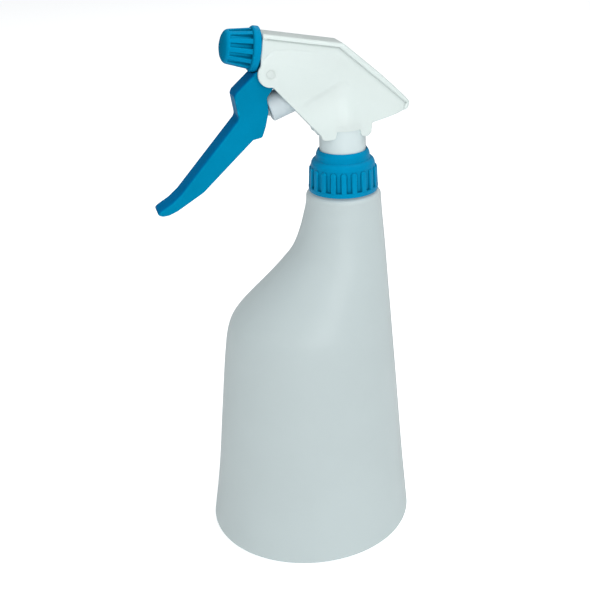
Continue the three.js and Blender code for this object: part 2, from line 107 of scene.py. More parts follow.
def pivot_frame(side, y):
    """Frame on the trigger's pivot, y from the middle on one side (-1 or 1), +z outwards."""
    return turned_frame(-side * math.pi / 2, "X", (PIVOT_X, side * y, PIVOT_Z))


# ------------------------------------------------------------------ curves
def fillet(points, step=14, closed=True):
    """Rounds each corner given as (x, y, radius), with a point every step degrees at most."""
    out, count = [], len(points)
    for i, point in enumerate(points):
        radius = point[2] if len(point) > 2 else 0
        corner = np.array(point[:2], float)
        if radius <= 0 or (not closed and i in (0, count - 1)):
            out.append(corner)
            continue
        back = np.array(points[i - 1][:2], float) - corner
        ahead = np.array(points[(i + 1) % count][:2], float) - corner
        back_length, ahead_length = np.linalg.norm(back), np.linalg.norm(ahead)
        back, ahead = back / back_length, ahead / ahead_length
        angle = math.acos(max(-1, min(1, float(back @ ahead))))
        if angle > math.pi - 0.03:
            out.append(corner)
            continue
        reach = min(radius / math.tan(angle / 2), 0.48 * back_length, 0.48 * ahead_length)
        radius = reach * math.tan(angle / 2)
        middle = (back + ahead) / np.linalg.norm(back + ahead)
        centre = corner + middle * radius / math.sin(angle / 2)
        first, last = corner + back * reach - centre, corner + ahead * reach - centre
        start, end = math.atan2(first[1], first[0]), math.atan2(last[1], last[0])
        span = (end - start + math.pi) % TURN - math.pi
        pieces = max(2, math.ceil(abs(span) / rad(step)))
        for j in range(pieces + 1):
            angle = start + span * j / pieces
            out.append(centre + radius * np.array([math.cos(angle), math.sin(angle)]))
    return np.array(out)


def dense(points, step, closed=True):
    """Splits segments longer than step."""
    points = [np.array(p, float) for p in points]
    out, count = [], len(points)
    for i, start in enumerate(points):
        out.append(start)
        if i == count - 1 and not closed:
            break
        end = points[(i + 1) % count]
        pieces = math.ceil(np.linalg.norm(end - start) / step - 1e-6)
        for j in range(1, pieces):
            out.append(start + (end - start) * j / pieces)
    return np.array(out)


def tidy(points, closest):
    """Drops points of a closed outline nearer than closest to the one before."""
    out = []
    for p in points:
        if not out or np.linalg.norm(p - out[-1]) > closest:
            out.append(p)
    if np.linalg.norm(out[0] - out[-1]) < closest:
        out.pop()
    return np.array(out)


def smooth(t):
    """Eases from 0 to 1 as t does."""
    t = np.clip(t, 0, 1)
    return t * t * (3 - 2 * t)


def bell(t):
    return np.exp(-t ** 2)


def round_edge(distance, radius):
    """How far a rounded edge falls back at a distance from it."""
    t = np.clip(radius - distance, 0, radius)
    return radius - np.sqrt(np.maximum(radius * radius - t * t, 0))


def pchip(xs, ys, x):
    """Curve through the points (xs, ys) that doesn't overshoot between them, read at x."""
    xs, ys, x = np.array(xs, float), np.array(ys, float), np.asarray(x, float)
    gaps, slopes = np.diff(xs), np.zeros(len(xs))
    rates = np.diff(ys) / gaps
    slopes[0], slopes[-1] = rates[0], rates[-1]
    for i in range(1, len(xs) - 1):
        if rates[i - 1] * rates[i] > 0:
            before, after = 2 * gaps[i] + gaps[i - 1], gaps[i] + 2 * gaps[i - 1]
            slopes[i] = (before + after) / (before / rates[i - 1] + after / rates[i])
    x = np.clip(x, xs[0], xs[-1])
    i = np.clip(np.searchsorted(xs, x) - 1, 0, len(gaps) - 1)
    t = (x - xs[i]) / gaps[i]
    return ((1 + 2 * t) * (1 - t) ** 2 * ys[i] + t * (1 - t) ** 2 * gaps[i] * slopes[i]
            + t * t * (3 - 2 * t) * ys[i + 1] + t * t * (t - 1) * gaps[i] * slopes[i + 1])


# ------------------------------------------------------------------ meshes
@contextmanager
def editing(mesh):
    """Opens a mesh for editing and writes it back."""
    edit = bmesh.new()
    edit.from_mesh(mesh)
    yield edit
    edit.to_mesh(mesh)
    edit.free()


def to_object(name, verts, faces, matrix=None):
    """A mesh object in metres in the row frame, from millimetres about the neck axis."""
    verts = np.asarray(verts, float)
    if matrix is not None:
        verts = verts @ matrix[:3, :3].T + matrix[:3, 3]
    verts = (verts + [NECK_X, 0, 0]) / 1000
    mesh = bpy.data.meshes.new(name)
    mesh.from_pydata(verts.tolist(), [], [list(map(int, face)) for face in faces])
    with editing(mesh) as edit:
        bmesh.ops.recalc_face_normals(edit, faces=edit.faces)
        if edit.calc_volume(signed=True) < 0:
            bmesh.ops.reverse_faces(edit, faces=edit.faces)
    piece = bpy.data.objects.new(name, mesh)
    bpy.context.scene.collection.objects.link(piece)
    return piece


def ring_faces(rings, count, wrap=False):
    """Quads between rings of count points; wrap joins the last ring to the first."""
    faces = []
    for j in range(rings if wrap else rings - 1):
        low, high = j * count, (j + 1) % rings * count
        for i in range(count):
            k = (i + 1) % count
            faces.append((low + i, low + k, high + k, high + i))
    return faces


def fan(apex, start, count, flip=False):
    """Triangles from the apex to the ring that begins at start."""
    pairs = [(start + i, start + (i + 1) % count) for i in range(count)]
    return [(apex, b, a) if flip else (apex, a, b) for a, b in pairs]


def revolve(name, profile, count=96, matrix=None, shape=None):
    """Turned about the local z axis. profile rows are (radius, height); it closes on itself, or
    ends on the axis. shape(radii, heights, angles) returns the radii, and may vary them round
    the axis."""
    profile = np.asarray(profile, float)
    start, end = profile[0][0] == 0, profile[-1][0] == 0
    rows = profile[(1 if start else 0):(len(profile) - 1 if end else len(profile))]
    radii, angles = np.meshgrid(rows[:, 0], np.arange(count) / count * 2 * math.pi, indexing="ij")
    heights = np.repeat(rows[:, 1][:, None], count, axis=1)
    if shape is not None:
        radii = shape(radii, heights, angles)
    verts = np.stack([radii * np.cos(angles), radii * np.sin(angles), heights], -1)
    verts = verts.reshape(-1, 3).tolist()
    faces = ring_faces(len(rows), count, wrap=not start and not end)
    if start:
        verts.append([0, 0, profile[0][1]])
        faces += fan(len(verts) - 1, 0, count, flip=True)
    if end:
        verts.append([0, 0, profile[-1][1]])
        faces += fan(len(verts) - 1, (len(rows) - 1) * count, count)
    return to_object(name, verts, faces, matrix)


def thread(radii, heights, angles, start, pitch, turns, height, half_width, sign=1):
    """Adds a helical ridge, run out at both ends, to the radii; sign -1 points it inwards."""
    rise = np.zeros_like(radii)
    fraction = (angles / TURN) % 1.0
    for k in range(int(math.ceil(turns)) + 1):
        turn = fraction + k
        inside = (turn >= 0) & (turn <= turns)
        fade = smooth(np.minimum(turn, turns - turn) / 0.07)
        off = np.abs(heights - (start + pitch * turn))
        ridge = 1 - smooth((off - half_width * 0.45) / (half_width * 0.55))
        rise = np.maximum(rise, np.where(inside, ridge * fade, 0))
    return radii + sign * height * rise


def from_rib(angles, ribs, phase=0.0):
    """Share of the rib spacing from the nearest rib: 0 at a rib's middle, 0.5 mid groove."""
    return np.abs(((angles - phase) * ribs / TURN + 0.5) % 1.0 - 0.5)


def grooved(radii, floor, share):
    """Brings the radii down to the floor by the given share."""
    return radii - (radii - np.minimum(radii, floor)) * share


def sweep(name, path, radius, sides, matrix):
    """A round wire along a path, with domed ends."""
    along = np.gradient(path, axis=0)
    along /= np.linalg.norm(along, axis=1)[:, None]
    up = np.array([0.0, 0.0, 1.0])
    dome = [(math.sin(rad(a)), math.cos(rad(a))) for a in (35, 65)]
    stations = [(path[0] - along[0] * radius * s, along[0], c) for s, c in dome[::-1]]
    stations += [(point, tangent, 1.0) for point, tangent in zip(path, along)]
    stations += [(path[-1] + along[-1] * radius * s, along[-1], c) for s, c in dome]
    verts = []
    for point, tangent, scale in stations:
        side = np.cross(tangent, up)
        side /= np.linalg.norm(side)
        normal = np.cross(side, tangent)
        for k in range(sides):
            angle = k / sides * 2 * math.pi
            ray = math.cos(angle) * side + math.sin(angle) * normal
            verts.append(point + radius * scale * ray)
    faces = ring_faces(len(stations), sides)
    faces.append(list(range(sides)))
    faces.append(list(range((len(stations) - 1) * sides, len(stations) * sides)))
    return to_object(name, verts, faces, matrix)


def coil_path(radius, start, end, turns, dead, wire, per_turn):
    """Centre line of a compression spring with dead closed turns at each end."""
    t = np.linspace(0, turns, int(turns * per_turn) + 1)
    closed = 2.1 * wire
    active = (end - start - 2 * dead * closed) / (turns - 2 * dead)
    rate = np.where((t < dead) | (t > turns - dead), closed, active)
    # the change of pitch is spread over a third of a turn
    kernel = np.ones(per_turn // 3) / (per_turn // 3)
    margin = per_turn // 2
    rate = np.convolve(np.pad(rate, margin, mode="edge"), kernel, mode="same")
    rate = rate[margin:margin + len(t)]
    z = np.concatenate([[0], np.cumsum((rate[1:] + rate[:-1]) / 2 * np.diff(t))])
    z = start + z / z[-1] * (end - start)
    return np.stack([radius * np.cos(t * 2 * math.pi), radius * np.sin(t * 2 * math.pi), z], -1)


def prism(name, outline, half):
    """A straight plate of the side outline (x, z), half thick each way from y = 0."""
    count = len(outline)
    verts = [(x, y, z) for y in (-half, half) for x, z in outline]
    faces = [list(range(count)), list(range(count, 2 * count))[::-1]]
    for i in range(count):
        k = (i + 1) % count
        faces.append((i, k, count + k, count + i))
    return to_object(name, verts, faces)


def rounded_bar(name, half_x, half_y, start, end, radius, matrix, steps=5):
    """A bar along z, its long edges and ends rounded by radius."""
    profile = []
    for i in range(steps + 1):
        angle = rad(90 * i / steps)
        profile.append((radius - radius * math.sin(angle),
                        start + radius - radius * math.cos(angle)))
    rings = profile + [(inset, end - (z - start)) for inset, z in reversed(profile)]
    verts, per_ring = [], 4 * (steps + 1)
    for inset, z in rings:
        corner = max(radius - inset, 1e-3)
        for side_x, side_y, first in ((1, 1, 0), (-1, 1, 90), (-1, -1, 180), (1, -1, 270)):
            for i in range(steps + 1):
                angle = rad(first + 90 * i / steps)
                verts.append((side_x * (half_x - radius) + corner * math.cos(angle),
                              side_y * (half_y - radius) + corner * math.sin(angle), z))
    last = (len(rings) - 1) * per_ring
    faces = [list(range(per_ring)), list(range(last, last + per_ring))]
    return to_object(name, verts, faces + ring_faces(len(rings), per_ring), matrix)


def distance_to(points, starts, ends):
    """Distance of each point to the nearest of the segments from starts to ends."""
    points = np.asarray(points, float)
    best = np.full(len(points), 1e9)
    for start, end in zip(starts, ends):
        run = end - start
        square = run @ run
        if square < 1e-12:
            continue
        t = np.clip((points - start) @ run / square, 0, 1)
        best = np.minimum(best, np.hypot(*(points - (start + t[:, None] * run)).T))
    return best


def distance_to_line(points, line):
    return distance_to(points, line[:-1], line[1:])


def inside_polygon(points, polygon):
    x, y = points[:, 0], points[:, 1]
    hit = np.zeros(len(points), bool)
    for (x0, y0), (x1, y1) in zip(polygon, np.roll(polygon, -1, axis=0)):
        if y0 == y1:
            continue
        hit ^= ((y0 > y) != (y1 > y)) & (x < (x1 - x0) * (y - y0) / (y1 - y0) + x0)
    return hit


def pillow_points(outline, rings, grid, spot):
    """The outline, rings at the given distances inside it, then an even grid. spot is (centre,
    reach, points): the points that stand in for the others within reach of the centre."""
    after = np.roll(outline, -1, axis=0)
    edge_in, edge_out = outline - np.roll(outline, 1, axis=0), after - outline
    edge_in /= np.linalg.norm(edge_in, axis=1)[:, None]
    edge_out /= np.linalg.norm(edge_out, axis=1)[:, None]
    normal = np.stack([-(edge_in + edge_out)[:, 1], (edge_in + edge_out)[:, 0]], -1)
    normal /= np.linalg.norm(normal, axis=1)[:, None]
    layers = []
    for inset in rings:
        ring = outline + normal * inset
        ring = ring[inside_polygon(ring, outline)]
        ring = ring[distance_to(ring, outline, after) > inset * 0.93]
        cell = max(0.12, min(0.3, inset * 0.5))
        cells = {}                # one point is kept in each cell
        for p in ring:
            cells.setdefault((round(p[0] / cell), round(p[1] / cell)), p)
        if cells:
            layers.append(np.array(list(cells.values())))
    low, high = outline.min(0), outline.max(0)
    grid_x, grid_z = np.meshgrid(np.arange(low[0], high[0], grid),
                                 np.arange(low[1], high[1], grid * 0.866), indexing="ij")
    grid_x = grid_x + (np.arange(grid_x.shape[1]) % 2)[None, :] * grid / 2
    field = np.stack([grid_x.ravel(), grid_z.ravel()], -1)
    field = field[inside_polygon(field, outline)]
    field = field[distance_to(field, outline, after) > rings[-1] + grid * 0.5]
    if spot is not None:
        centre, reach, points = spot
        field = field[np.hypot(*(field - centre).T) > reach]
        layers = [p[np.hypot(*(p - centre).T) > reach] for p in layers]
        layers.append(points[inside_polygon(points, outline)])
    return np.concatenate([outline, *layers, field])


def pillow(name, outline, rings, grid, surface, inward, spot=None, across=6):
    """A plate with a formed face on each side. outline is (u, z) round its edge; surface(points)
    gives the face points at y < 0 and their outward normals; inward(points, distance) gives how
    far each point is drawn in, distance being that from the edge. The two faces are mirror
    images, joined straight across along the edge."""
    x, z = outline.T
    if np.sum(x * np.roll(z, -1) - np.roll(x, -1) * z) < 0:
        outline = outline[::-1]
    flat = pillow_points(outline, rings, grid, spot)
    border = [list(range(len(outline)))]
    result = delaunay_2d_cdt([Vector(p) for p in flat], [], border, 1, 1e-5)
    points = np.array([tuple(p) for p in result[0]])
    used = sorted({i for face in result[2] for i in face})
    index = {old: new for new, old in enumerate(used)}
    faces = [tuple(index[i] for i in face) for face in result[2]]
    points = points[used]
    edges = dict.fromkeys((face[k], face[(k + 1) % len(face)])
                          for face in faces for k in range(len(face)))
    rim = {a: b for a, b in edges if (b, a) not in edges}
    distance = distance_to(points, outline, np.roll(outline, -1, axis=0))
    distance[list(rim)] = 0
    face_points, normals = surface(points)
    left = face_points - normals * inward(points, distance)[:, None]
    right = left * [1, -1, 1]
    right[:, 1] = np.maximum(right[:, 1], 1e-3)
    left[:, 1] = np.minimum(left[:, 1], -1e-3)
    verts = list(map(tuple, left)) + list(map(tuple, right))
    count = len(points)
    faces += [tuple(count + i for i in reversed(face)) for face in faces]
    strip = {}
    for i in rim:
        strip[i] = [i, *range(len(verts), len(verts) + across - 1), count + i]
        verts += [tuple(left[i] + (right[i] - left[i]) * k / across) for k in range(1, across)]
    for a, b in rim.items():
        for k in range(across):
            faces.append((strip[b][k], strip[a][k], strip[a][k + 1], strip[b][k + 1]))
    return to_object(name, verts, faces)


def apply_modifier(piece, kind, **settings):
    modifier = piece.modifiers.new(kind.lower(), kind)
    for key, value in settings.items():
        setattr(modifier, key, value)
    graph = bpy.context.evaluated_depsgraph_get()
    graph.update()
    mesh = bpy.data.meshes.new_from_object(piece.evaluated_get(graph))
    piece.modifiers.clear()
    if len(mesh.polygons) == 0:
        raise RuntimeError(f"{piece.name}: {kind} left nothing")
    old = piece.data
    piece.data = mesh
    bpy.data.meshes.remove(old)


def boolean(piece, others, operation):
    """Cuts or joins piece with the others, which are used up."""
    for other in others:
        apply_modifier(piece, "BOOLEAN", operation=operation, object=other, solver="MANIFOLD")
        bpy.data.objects.remove(other)


def clean(piece, merge=4e-6):
    """Merges points closer than the mesh needs and drops slivers."""
    with editing(piece.data) as edit:
        bmesh.ops.remove_doubles(edit, verts=edit.verts, dist=merge)
        bmesh.ops.dissolve_degenerate(edit, edges=edit.edges, dist=merge)
        bmesh.ops.triangulate(edit, faces=[f for f in edit.faces if len(f.verts) > 4])


def shade(piece, angle):
    """Smooth shading, with edges sharper than angle kept crisp."""
    with editing(piece.data) as edit:
        for face in edit.faces:
            face.smooth = True
        for edge in edit.edges:
            edge.smooth = edge.calc_face_angle(0.0) < rad(angle)


# ------------------------------------------------------------------ finishes
def srgb(*rgb):
    """Linear colour from 0-255 display values."""
    shares = [c / 255 for c in rgb]
    return tuple(c / 12.92 if c <= 0.04045 else ((c + 0.055) / 1.055) ** 2.4 for c in shares)


def scaled(colour, factor, lift=0.0):
    return tuple(min(1.0, c * factor + lift) for c in colour)


def new_material(name):
    """A material and its emptied node tree."""
    material = bpy.data.materials.new(name)
    material.use_nodes = True
    material.node_tree.nodes.clear()
    return material, material.node_tree


class Nodes:
    """Adds nodes to a tree. An input may be a value, a socket, or a node (its first output)."""

    def __init__(self, tree):
        self.tree = tree

    def feed(self, node, inputs):
        for key, value in inputs.items():
            if hasattr(value, "outputs"):
                value = value.outputs[0]
            if hasattr(value, "node"):
                self.tree.links.new(value, node.inputs[key])
            else:
                node.inputs[key].default_value = value

    def add(self, kind, inputs=None, **settings):
        node = self.tree.nodes.new("ShaderNode" + kind)
        for key, value in settings.items():
            setattr(node, key, value)
        self.feed(node, inputs or {})
        return node

    def maths(self, operation, a, b):
        return self.add("Math", {0: a, 1: b}, operation=operation)


class FinishNodes(Nodes):
    """The nodes of a finish, placed by object coordinates."""

    def __init__(self, tree):
        super().__init__(tree)
        output = self.add("OutputMaterial")
        self.shader = self.add("BsdfPrincipled")
        self.feed(output, {0: self.shader})
        self.coord = self.add("TexCoord")

    def noise(self, scale, detail=3.0, roughness=0.55, stretch=None):
        place = self.coord.outputs["Object"]
        if stretch:
            place = self.add("Mapping", {0: place, "Scale": stretch})
        texture = self.add("TexNoise", {"Scale": scale, "Detail": detail,
                                        "Roughness": roughness, "Vector": place})
        return texture.outputs["Fac"]

    def ramp(self, value, span, to=(0.0, 1.0)):
        """Eases from to[0] to to[1] as the value crosses the span."""
        inputs = {"From Min": span[0], "From Max": span[1], "To Min": to[0], "To Max": to[1],
                  "Value": value}
        return self.add("MapRange", inputs, interpolation_type="SMOOTHSTEP")

    def mix(self, factor, first, second):
        first, second = [c if hasattr(c, "node") else (*c, 1.0) for c in (first, second)]
        node = self.add("Mix", data_type="RGBA")
        self.feed(node, {0: factor, 6: first, 7: second})
        return node.outputs[2]


@dataclass
class Look:
    """A moulded or drawn finish. Colours are linear; noise scales are per metre."""
    colour: tuple
    rough: float = 0.4                # middle of the patchy roughness
    vary: float = 0.05                # strength of the clouds and specks
    tint: tuple = None                # second colour in broad clouds
    cloud: float = 35.0               # scale of the clouds
    speck: float = 900.0              # scale of the specks
    bump: float = 0.03                # strength of the fine relief
    bump_scale: float = 700.0
    waviness: float = 0.0             # strength of the broad relief
    subsurface: float = 0.0
    subsurface_scale: float = 0.004   # metres
    metal: float = 0.0
    edge: float = 0.25                # how much convex edges pale: wear, and on the blue a painted highlight
    pale: tuple = None                # their colour, if not worked out
    scuff: float = 0.35               # rub marks in the roughness
    specular: float = 0.5
    glaze: tuple = None               # tint of the sheen
    glow: float = 0.0                 # painted glow: emission that stands in for light carried round inside the milky wall
    rim: float = 0.0                  # painted shade: darker where walls turn away from the view
    crevice: float = 0.0              # painted shade in the grooves
    recess: float = 0.0               # painted shade in the recesses
    handled: dict = None              # painted shade on faces turned toward a direction: toward, depth, and tone by channel


def handled_nodes(nodes, look, base):
    """Painted shade: the faces turned toward a given direction are coloured darker, and shine less,
    than the rest.
    """
    toward_x, toward_y, toward_z = look.handled["toward"]
    normal = nodes.add("SeparateXYZ", {0: nodes.coord.outputs["Normal"]}).outputs
    part_x = nodes.maths("MULTIPLY", normal[0], toward_x)
    part_y = nodes.maths("MULTIPLY", normal[1], toward_y)
    part_z = nodes.maths("MULTIPLY", normal[2], toward_z)
    toward = nodes.maths("ADD", part_x, nodes.maths("ADD", part_y, part_z))
    span = (0.45, 0.85)
    tone = tuple(c * k for c, k in zip(look.colour, look.handled["tone"]))
    base = nodes.mix(nodes.ramp(toward, span, to=(0.0, look.handled["depth"])), base, tone)
    sheen = nodes.ramp(toward, span, to=(look.specular, look.specular * 0.05))
    nodes.feed(nodes.shader, {"Specular IOR Level": sheen})
    return base


def colour_nodes(nodes, look):
    """Returns the colour, and the mask of convex edges that pale for wear and as a painted highlight.
    """
    colour = look.colour
    clouds = nodes.ramp(nodes.noise(look.cloud, detail=4.0), span=(0.34, 0.66))
    base = nodes.mix(clouds, scaled(colour, 1 - look.vary), scaled(colour, 1 + look.vary * 0.6))
    if look.tint:
        broad = nodes.noise(look.cloud * 0.45, detail=2.0)
        base = nodes.mix(nodes.ramp(broad, span=(0.4, 0.75), to=(0.0, 0.6)), base, look.tint)
    specks = nodes.ramp(nodes.noise(look.speck, detail=2.0), span=(0.25, 0.8),
                        to=(0.0, 0.35 * look.vary * 4))
    base = nodes.mix(specks, base, scaled(colour, 1.15, lift=0.01))
    # convex edges pale: wear, and on the blue a painted highlight along the rims
    pointiness = nodes.add("NewGeometry").outputs["Pointiness"]
    edge_wear_and_highlight = nodes.maths("MULTIPLY", nodes.ramp(pointiness, span=(0.505, 0.56)),
                       nodes.ramp(nodes.noise(240.0), span=(0.35, 0.7)))
    pale = look.pale or scaled(colour, 1.25, lift=0.05)
    base = nodes.mix(nodes.maths("MULTIPLY", edge_wear_and_highlight, look.edge), base, pale)
    # painted shade: concave places, found by pointiness, are coloured darker
    if look.crevice:
        grooves = nodes.ramp(pointiness, span=(0.497, 0.455), to=(0.0, look.crevice))
        base = nodes.mix(grooves, base, scaled(colour, 0.4))
    # painted shade on the faces turned away from the light
    if look.handled:
        base = handled_nodes(nodes, look, base)
    # painted shade: occluded recesses are coloured darker
    if look.recess:
        shade_node = nodes.add("AmbientOcclusion", {"Distance": 0.0025},
                               samples=6, only_local=True)
        hidden = nodes.ramp(shade_node.outputs["AO"], span=(0.97, 0.5), to=(0.0, look.recess))
        base = nodes.mix(hidden, base, scaled(colour, 0.35))
    # painted shade: walls turned away from the view are coloured darker
    if look.rim:
        facing = nodes.add("LayerWeight", {"Blend": 0.5}).outputs["Facing"]
        turned = nodes.ramp(facing, span=(0.62, 0.97), to=(0.0, look.rim))
        base = nodes.mix(turned, base, scaled(colour, 0.35))
    return base, edge_wear_and_highlight


def roughness_nodes(nodes, look, edge_wear_and_highlight):
    """Patches, lengthwise rub marks and rougher convex edges."""
    streaks = nodes.noise(60.0, detail=5.0, roughness=0.65, stretch=(1.0, 1.0, 0.22))
    rub = nodes.ramp(streaks, span=(0.52, 0.72), to=(0.0, 0.16 * look.scuff))
    patch = nodes.ramp(nodes.noise(look.cloud * 1.6), span=(0.3, 0.7),
                       to=(look.rough - 0.045, look.rough + 0.05))
    return nodes.maths("ADD", nodes.maths("ADD", patch, rub), nodes.maths("MULTIPLY", edge_wear_and_highlight, 0.08))


def relief_nodes(nodes, look):
    """A fine surface relief, with broad waves over it if the look has them."""
    grain = nodes.noise(look.bump_scale, roughness=0.6)
    relief = nodes.add("Bump", {"Strength": look.bump, "Distance": 0.0004, "Height": grain})
    if look.waviness:
        waves = nodes.noise(38.0, detail=2.0, roughness=0.4)
        relief = nodes.add("Bump", {"Strength": look.waviness, "Distance": 0.003,
                                    "Height": waves, "Normal": relief})
    return relief


def finish_material(name, rgb, **settings):
    look = Look(srgb(*rgb), **settings)
    material, tree = new_material(name)
    nodes = FinishNodes(tree)
    base, edge_wear_and_highlight = colour_nodes(nodes, look)
    inputs = {
        "Base Color": base,
        "Roughness": roughness_nodes(nodes, look, edge_wear_and_highlight),
        "Normal": relief_nodes(nodes, look),
        "Metallic": look.metal,
        "IOR": 1.5,
    }
    if look.glaze:
        inputs["Specular Tint"] = (*look.glaze, 1.0)
    # painted glow: emission coloured like the surface stands in for light carried inside the milky wall
    if look.glow:
        inputs.update({"Emission Color": base, "Emission Strength": look.glow})
    if look.subsurface:
        inputs.update({"Subsurface Weight": look.subsurface, "Subsurface Radius": (1.0, 1.0, 1.0),
                       "Subsurface Scale": look.subsurface_scale})
    nodes.feed(nodes.shader, inputs)
    nodes.shader.inputs["Specular IOR Level"].default_value = look.specular
    material.diffuse_color = (*look.colour, 1.0)
    return material


# the blue's pale edges paint a highlight along the rims; its grooves and recesses get painted shade
BLUE = dict(rough=0.36, vary=0.06, cloud=45, bump=0.05, bump_scale=1100, edge=0.9, scuff=0.5,
            glaze=(0.02, 0.62, 1.0), crevice=0.75, recess=0.85, pale=srgb(0, 172, 218))
WHITE = dict(cloud=30, bump=0.04, bump_scale=900, subsurface=0.15, subsurface_scale=0.002,
             edge=0.15)
# the cool whites get painted shade at turned-away walls and in grooves
INNER_WHITE = dict(WHITE, rough=0.42, vary=0.02, scuff=0.4, rim=0.3, crevice=0.3)

MATERIALS = {
    # the bottle's glow is painted light, and its darkening at turned-away walls is painted shade
    "natural_bottle": finish_material(
        "milky_polyethylene", (171, 182, 183), rough=0.38, vary=0.02, cloud=14, speck=420,
        bump=0.05, bump_scale=260, waviness=0.10, subsurface=0.15, edge=0.1, scuff=0.6,
        specular=0.35, glow=0.37, rim=0.12),
    "blue_plastic": finish_material(
        "blue_polypropylene", (0, 145, 194), tint=srgb(0, 136, 182), specular=0.14, **BLUE),
    # the trigger's and the nozzle's front faces get painted shade
    "blue_trigger": finish_material(
        "blue_polypropylene_handled", (0, 136, 179), tint=srgb(0, 130, 171), specular=0.05,
        handled=dict(toward=(-0.74, 0.0, 0.67), depth=0.8, tone=(0.35, 0.59, 0.86)), **BLUE),
    "blue_nozzle": finish_material(
        "blue_polypropylene_nozzle", (0, 145, 194), tint=srgb(0, 136, 182), specular=0.05,
        handled=dict(toward=(-0.99, 0.0, 0.1), depth=0.4, tone=(0.35, 0.35, 0.35)), **BLUE),
    # the shroud gets painted shade at turned-away walls, in grooves and in recesses
    "white_plastic": finish_material(
        "white_polypropylene", (226, 238, 235), rough=0.38, vary=0.015, waviness=0.03, scuff=0.5,
        rim=0.38, crevice=0.35, recess=0.38, **WHITE),
    "white_body_plastic": finish_material(
        "cool_white_polypropylene", (219, 233, 234), **INNER_WHITE),
    # a darker copy of the cool white: painted shade for the piston under the hood
    "shaded_plunger_plastic": finish_material("shaded_plunger_polypropylene", (209, 222, 227), **INNER_WHITE),
    "grey_plastic": finish_material(
        "grey_acetal", (176, 188, 193), rough=0.45, vary=0.04, cloud=60, bump=0.05,
        bump_scale=1100, edge=0.3, scuff=0.8),
    "seal_plastic": finish_material(
        "soft_polyethylene", (214, 220, 222), rough=0.5, vary=0.03, cloud=70, bump=0.05,
        edge=0.1, subsurface=0.2, subsurface_scale=0.002),
    "gasket_foam": finish_material(
        "foamed_liner", (224, 228, 228), rough=0.75, vary=0.06, cloud=120, speck=2400, bump=0.6,
        bump_scale=2600, edge=0.05),
    "natural_plastic": finish_material(
        "natural_polypropylene", (222, 229, 229), rough=0.35, vary=0.03, cloud=40, bump=0.03,
        subsurface=0.35, edge=0.1),
    "strainer_plastic": finish_material(
        "natural_polyethylene", (212, 221, 223), rough=0.5, vary=0.03, cloud=70, bump=0.05,
        subsurface=0.25, subsurface_scale=0.003, edge=0.1),
    "spring_steel": finish_material(
        "drawn_steel", (178, 181, 186), rough=0.3, vary=0.08, cloud=400, bump=0.1,
        bump_scale=3000, metal=1.0, edge=0.2),
    "ball_steel": finish_material(
        "polished_steel", (200, 203, 207), rough=0.14, vary=0.04, cloud=300, bump=0.02,
        bump_scale=2500, metal=1.0, edge=0.1, scuff=0.2),
    "black_rubber": finish_material(
        "nitrile", (34, 35, 38), rough=0.65, vary=0.1, cloud=200, bump=0.2, bump_scale=2500,
        edge=0.15),
}


def place(piece, node, body, slot, angle=38, tidy_up=True, finish=None):
    """Finishes a piece and lets it ride its body in place of the frame's node."""
    if tidy_up:
        clean(piece)
    shade(piece, angle)
    piece.data.materials.clear()
    piece.data.materials.append(MATERIALS[finish or slot])
    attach(piece, body)
    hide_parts(node)


def turned_piece(node, body, slot, profile, count, matrix=None, step=18, finish=None):
    """A plain turned piece; profile rows are (radius, height, corner rounding)."""
    closed = not (profile[0][0] == 0 and profile[-1][0] == 0)
    piece = revolve(f"{node}_fine", fillet(profile, step, closed), count, matrix)
    place(piece, node, body, slot, finish=finish)


# ------------------------------------------------------------------ bottle
# (z, x) up the side that faces the nozzle, and up the side behind
FRONT = [[4.5, -72.1], [30, -68.2], [70, -63.8], [100, -60.3], [108, -59.0], [114, -57.0],
         [119, -53.3], [124, -48.3], [132, -39.7], [140, -31.8], [148, -25.2], [156, -21.6],
         [164, -19.2], [172, -17.5], [174.2, -17.4]]
BACK = [[4.5, 29.8], [40, 26.8], [80, 23.9], [120, 21.0], [150, 19.2], [172, 17.5], [174.2, 17.4]]
# (radius, z) from the shoulder to the neck, and over the lip and down inside
SHOULDER = [(17.3, 174.7), (17.1, 175.15), (16.8, 175.5), (16.3, 175.8), (15.4, 176.05),
            (14.0, 176.2), (13.2, 176.3), (12.85, 176.45), (12.65, 176.8)]
LIP = [(12.58, 187.35), (12.5, 187.55), (12.36, 187.7), (12.15, 187.8), (11.3, 187.8),
       (11.05, 187.74), (10.88, 187.6), (10.8, 187.4), (10.8, 185), (10.8, 182), (10.8, 178),
       (10.9, 176.4), (11.6, 175.5), (13.0, 174.6), (14.6, 173.8)]
NECK_RADIUS = 12.6
NECK_PITCH, NECK_THREAD_Z = 4.233, 180.4
WALL = 1.3
HEEL, INNER_HEEL = 4.5, 3.6           # rounding from side to base
DISH = 2.2                            # height of the base's dished middle
DISH_INSET = 22                       # inset at which the dish is flat
FLOOR, FLOOR_TOP = 1.7, DISH + 1.6    # inside face of the base: round the edge, over the dish
SEAM_HEIGHT, SEAM_WIDTH = 0.09, 0.0056        # mm, radians
SEAM_CLEAR = 0.036                    # radians each side with no evenly spaced points
# radians from a seam
SEAM_ANGLES = [0.0, 0.0028, 0.0056, 0.009, 0.014, 0.022, 0.034]


def oval(z, inset=0.0, height=None, scale=1.0):
    """Section row (middle x, half size in x, half size in y, z) of the bottle at z."""
    front, back = float(pchip(*zip(*FRONT), z)), float(pchip(*zip(*BACK), z))
    half = (back - front) / 2
    flatter = min(1, max(0, (half - 17.4) / 22))
    return ((front + back) / 2, (half - inset) * scale,
            (half * (1 - 0.08 * flatter) - inset) * scale, z if height is None else height)


def circle(radius, z):
    return (0.0, radius, radius, z)


def dish(inset):
    """Share of the dish's height at an inset from the outline."""
    return float(smooth((inset - 9.0) / 9.5))


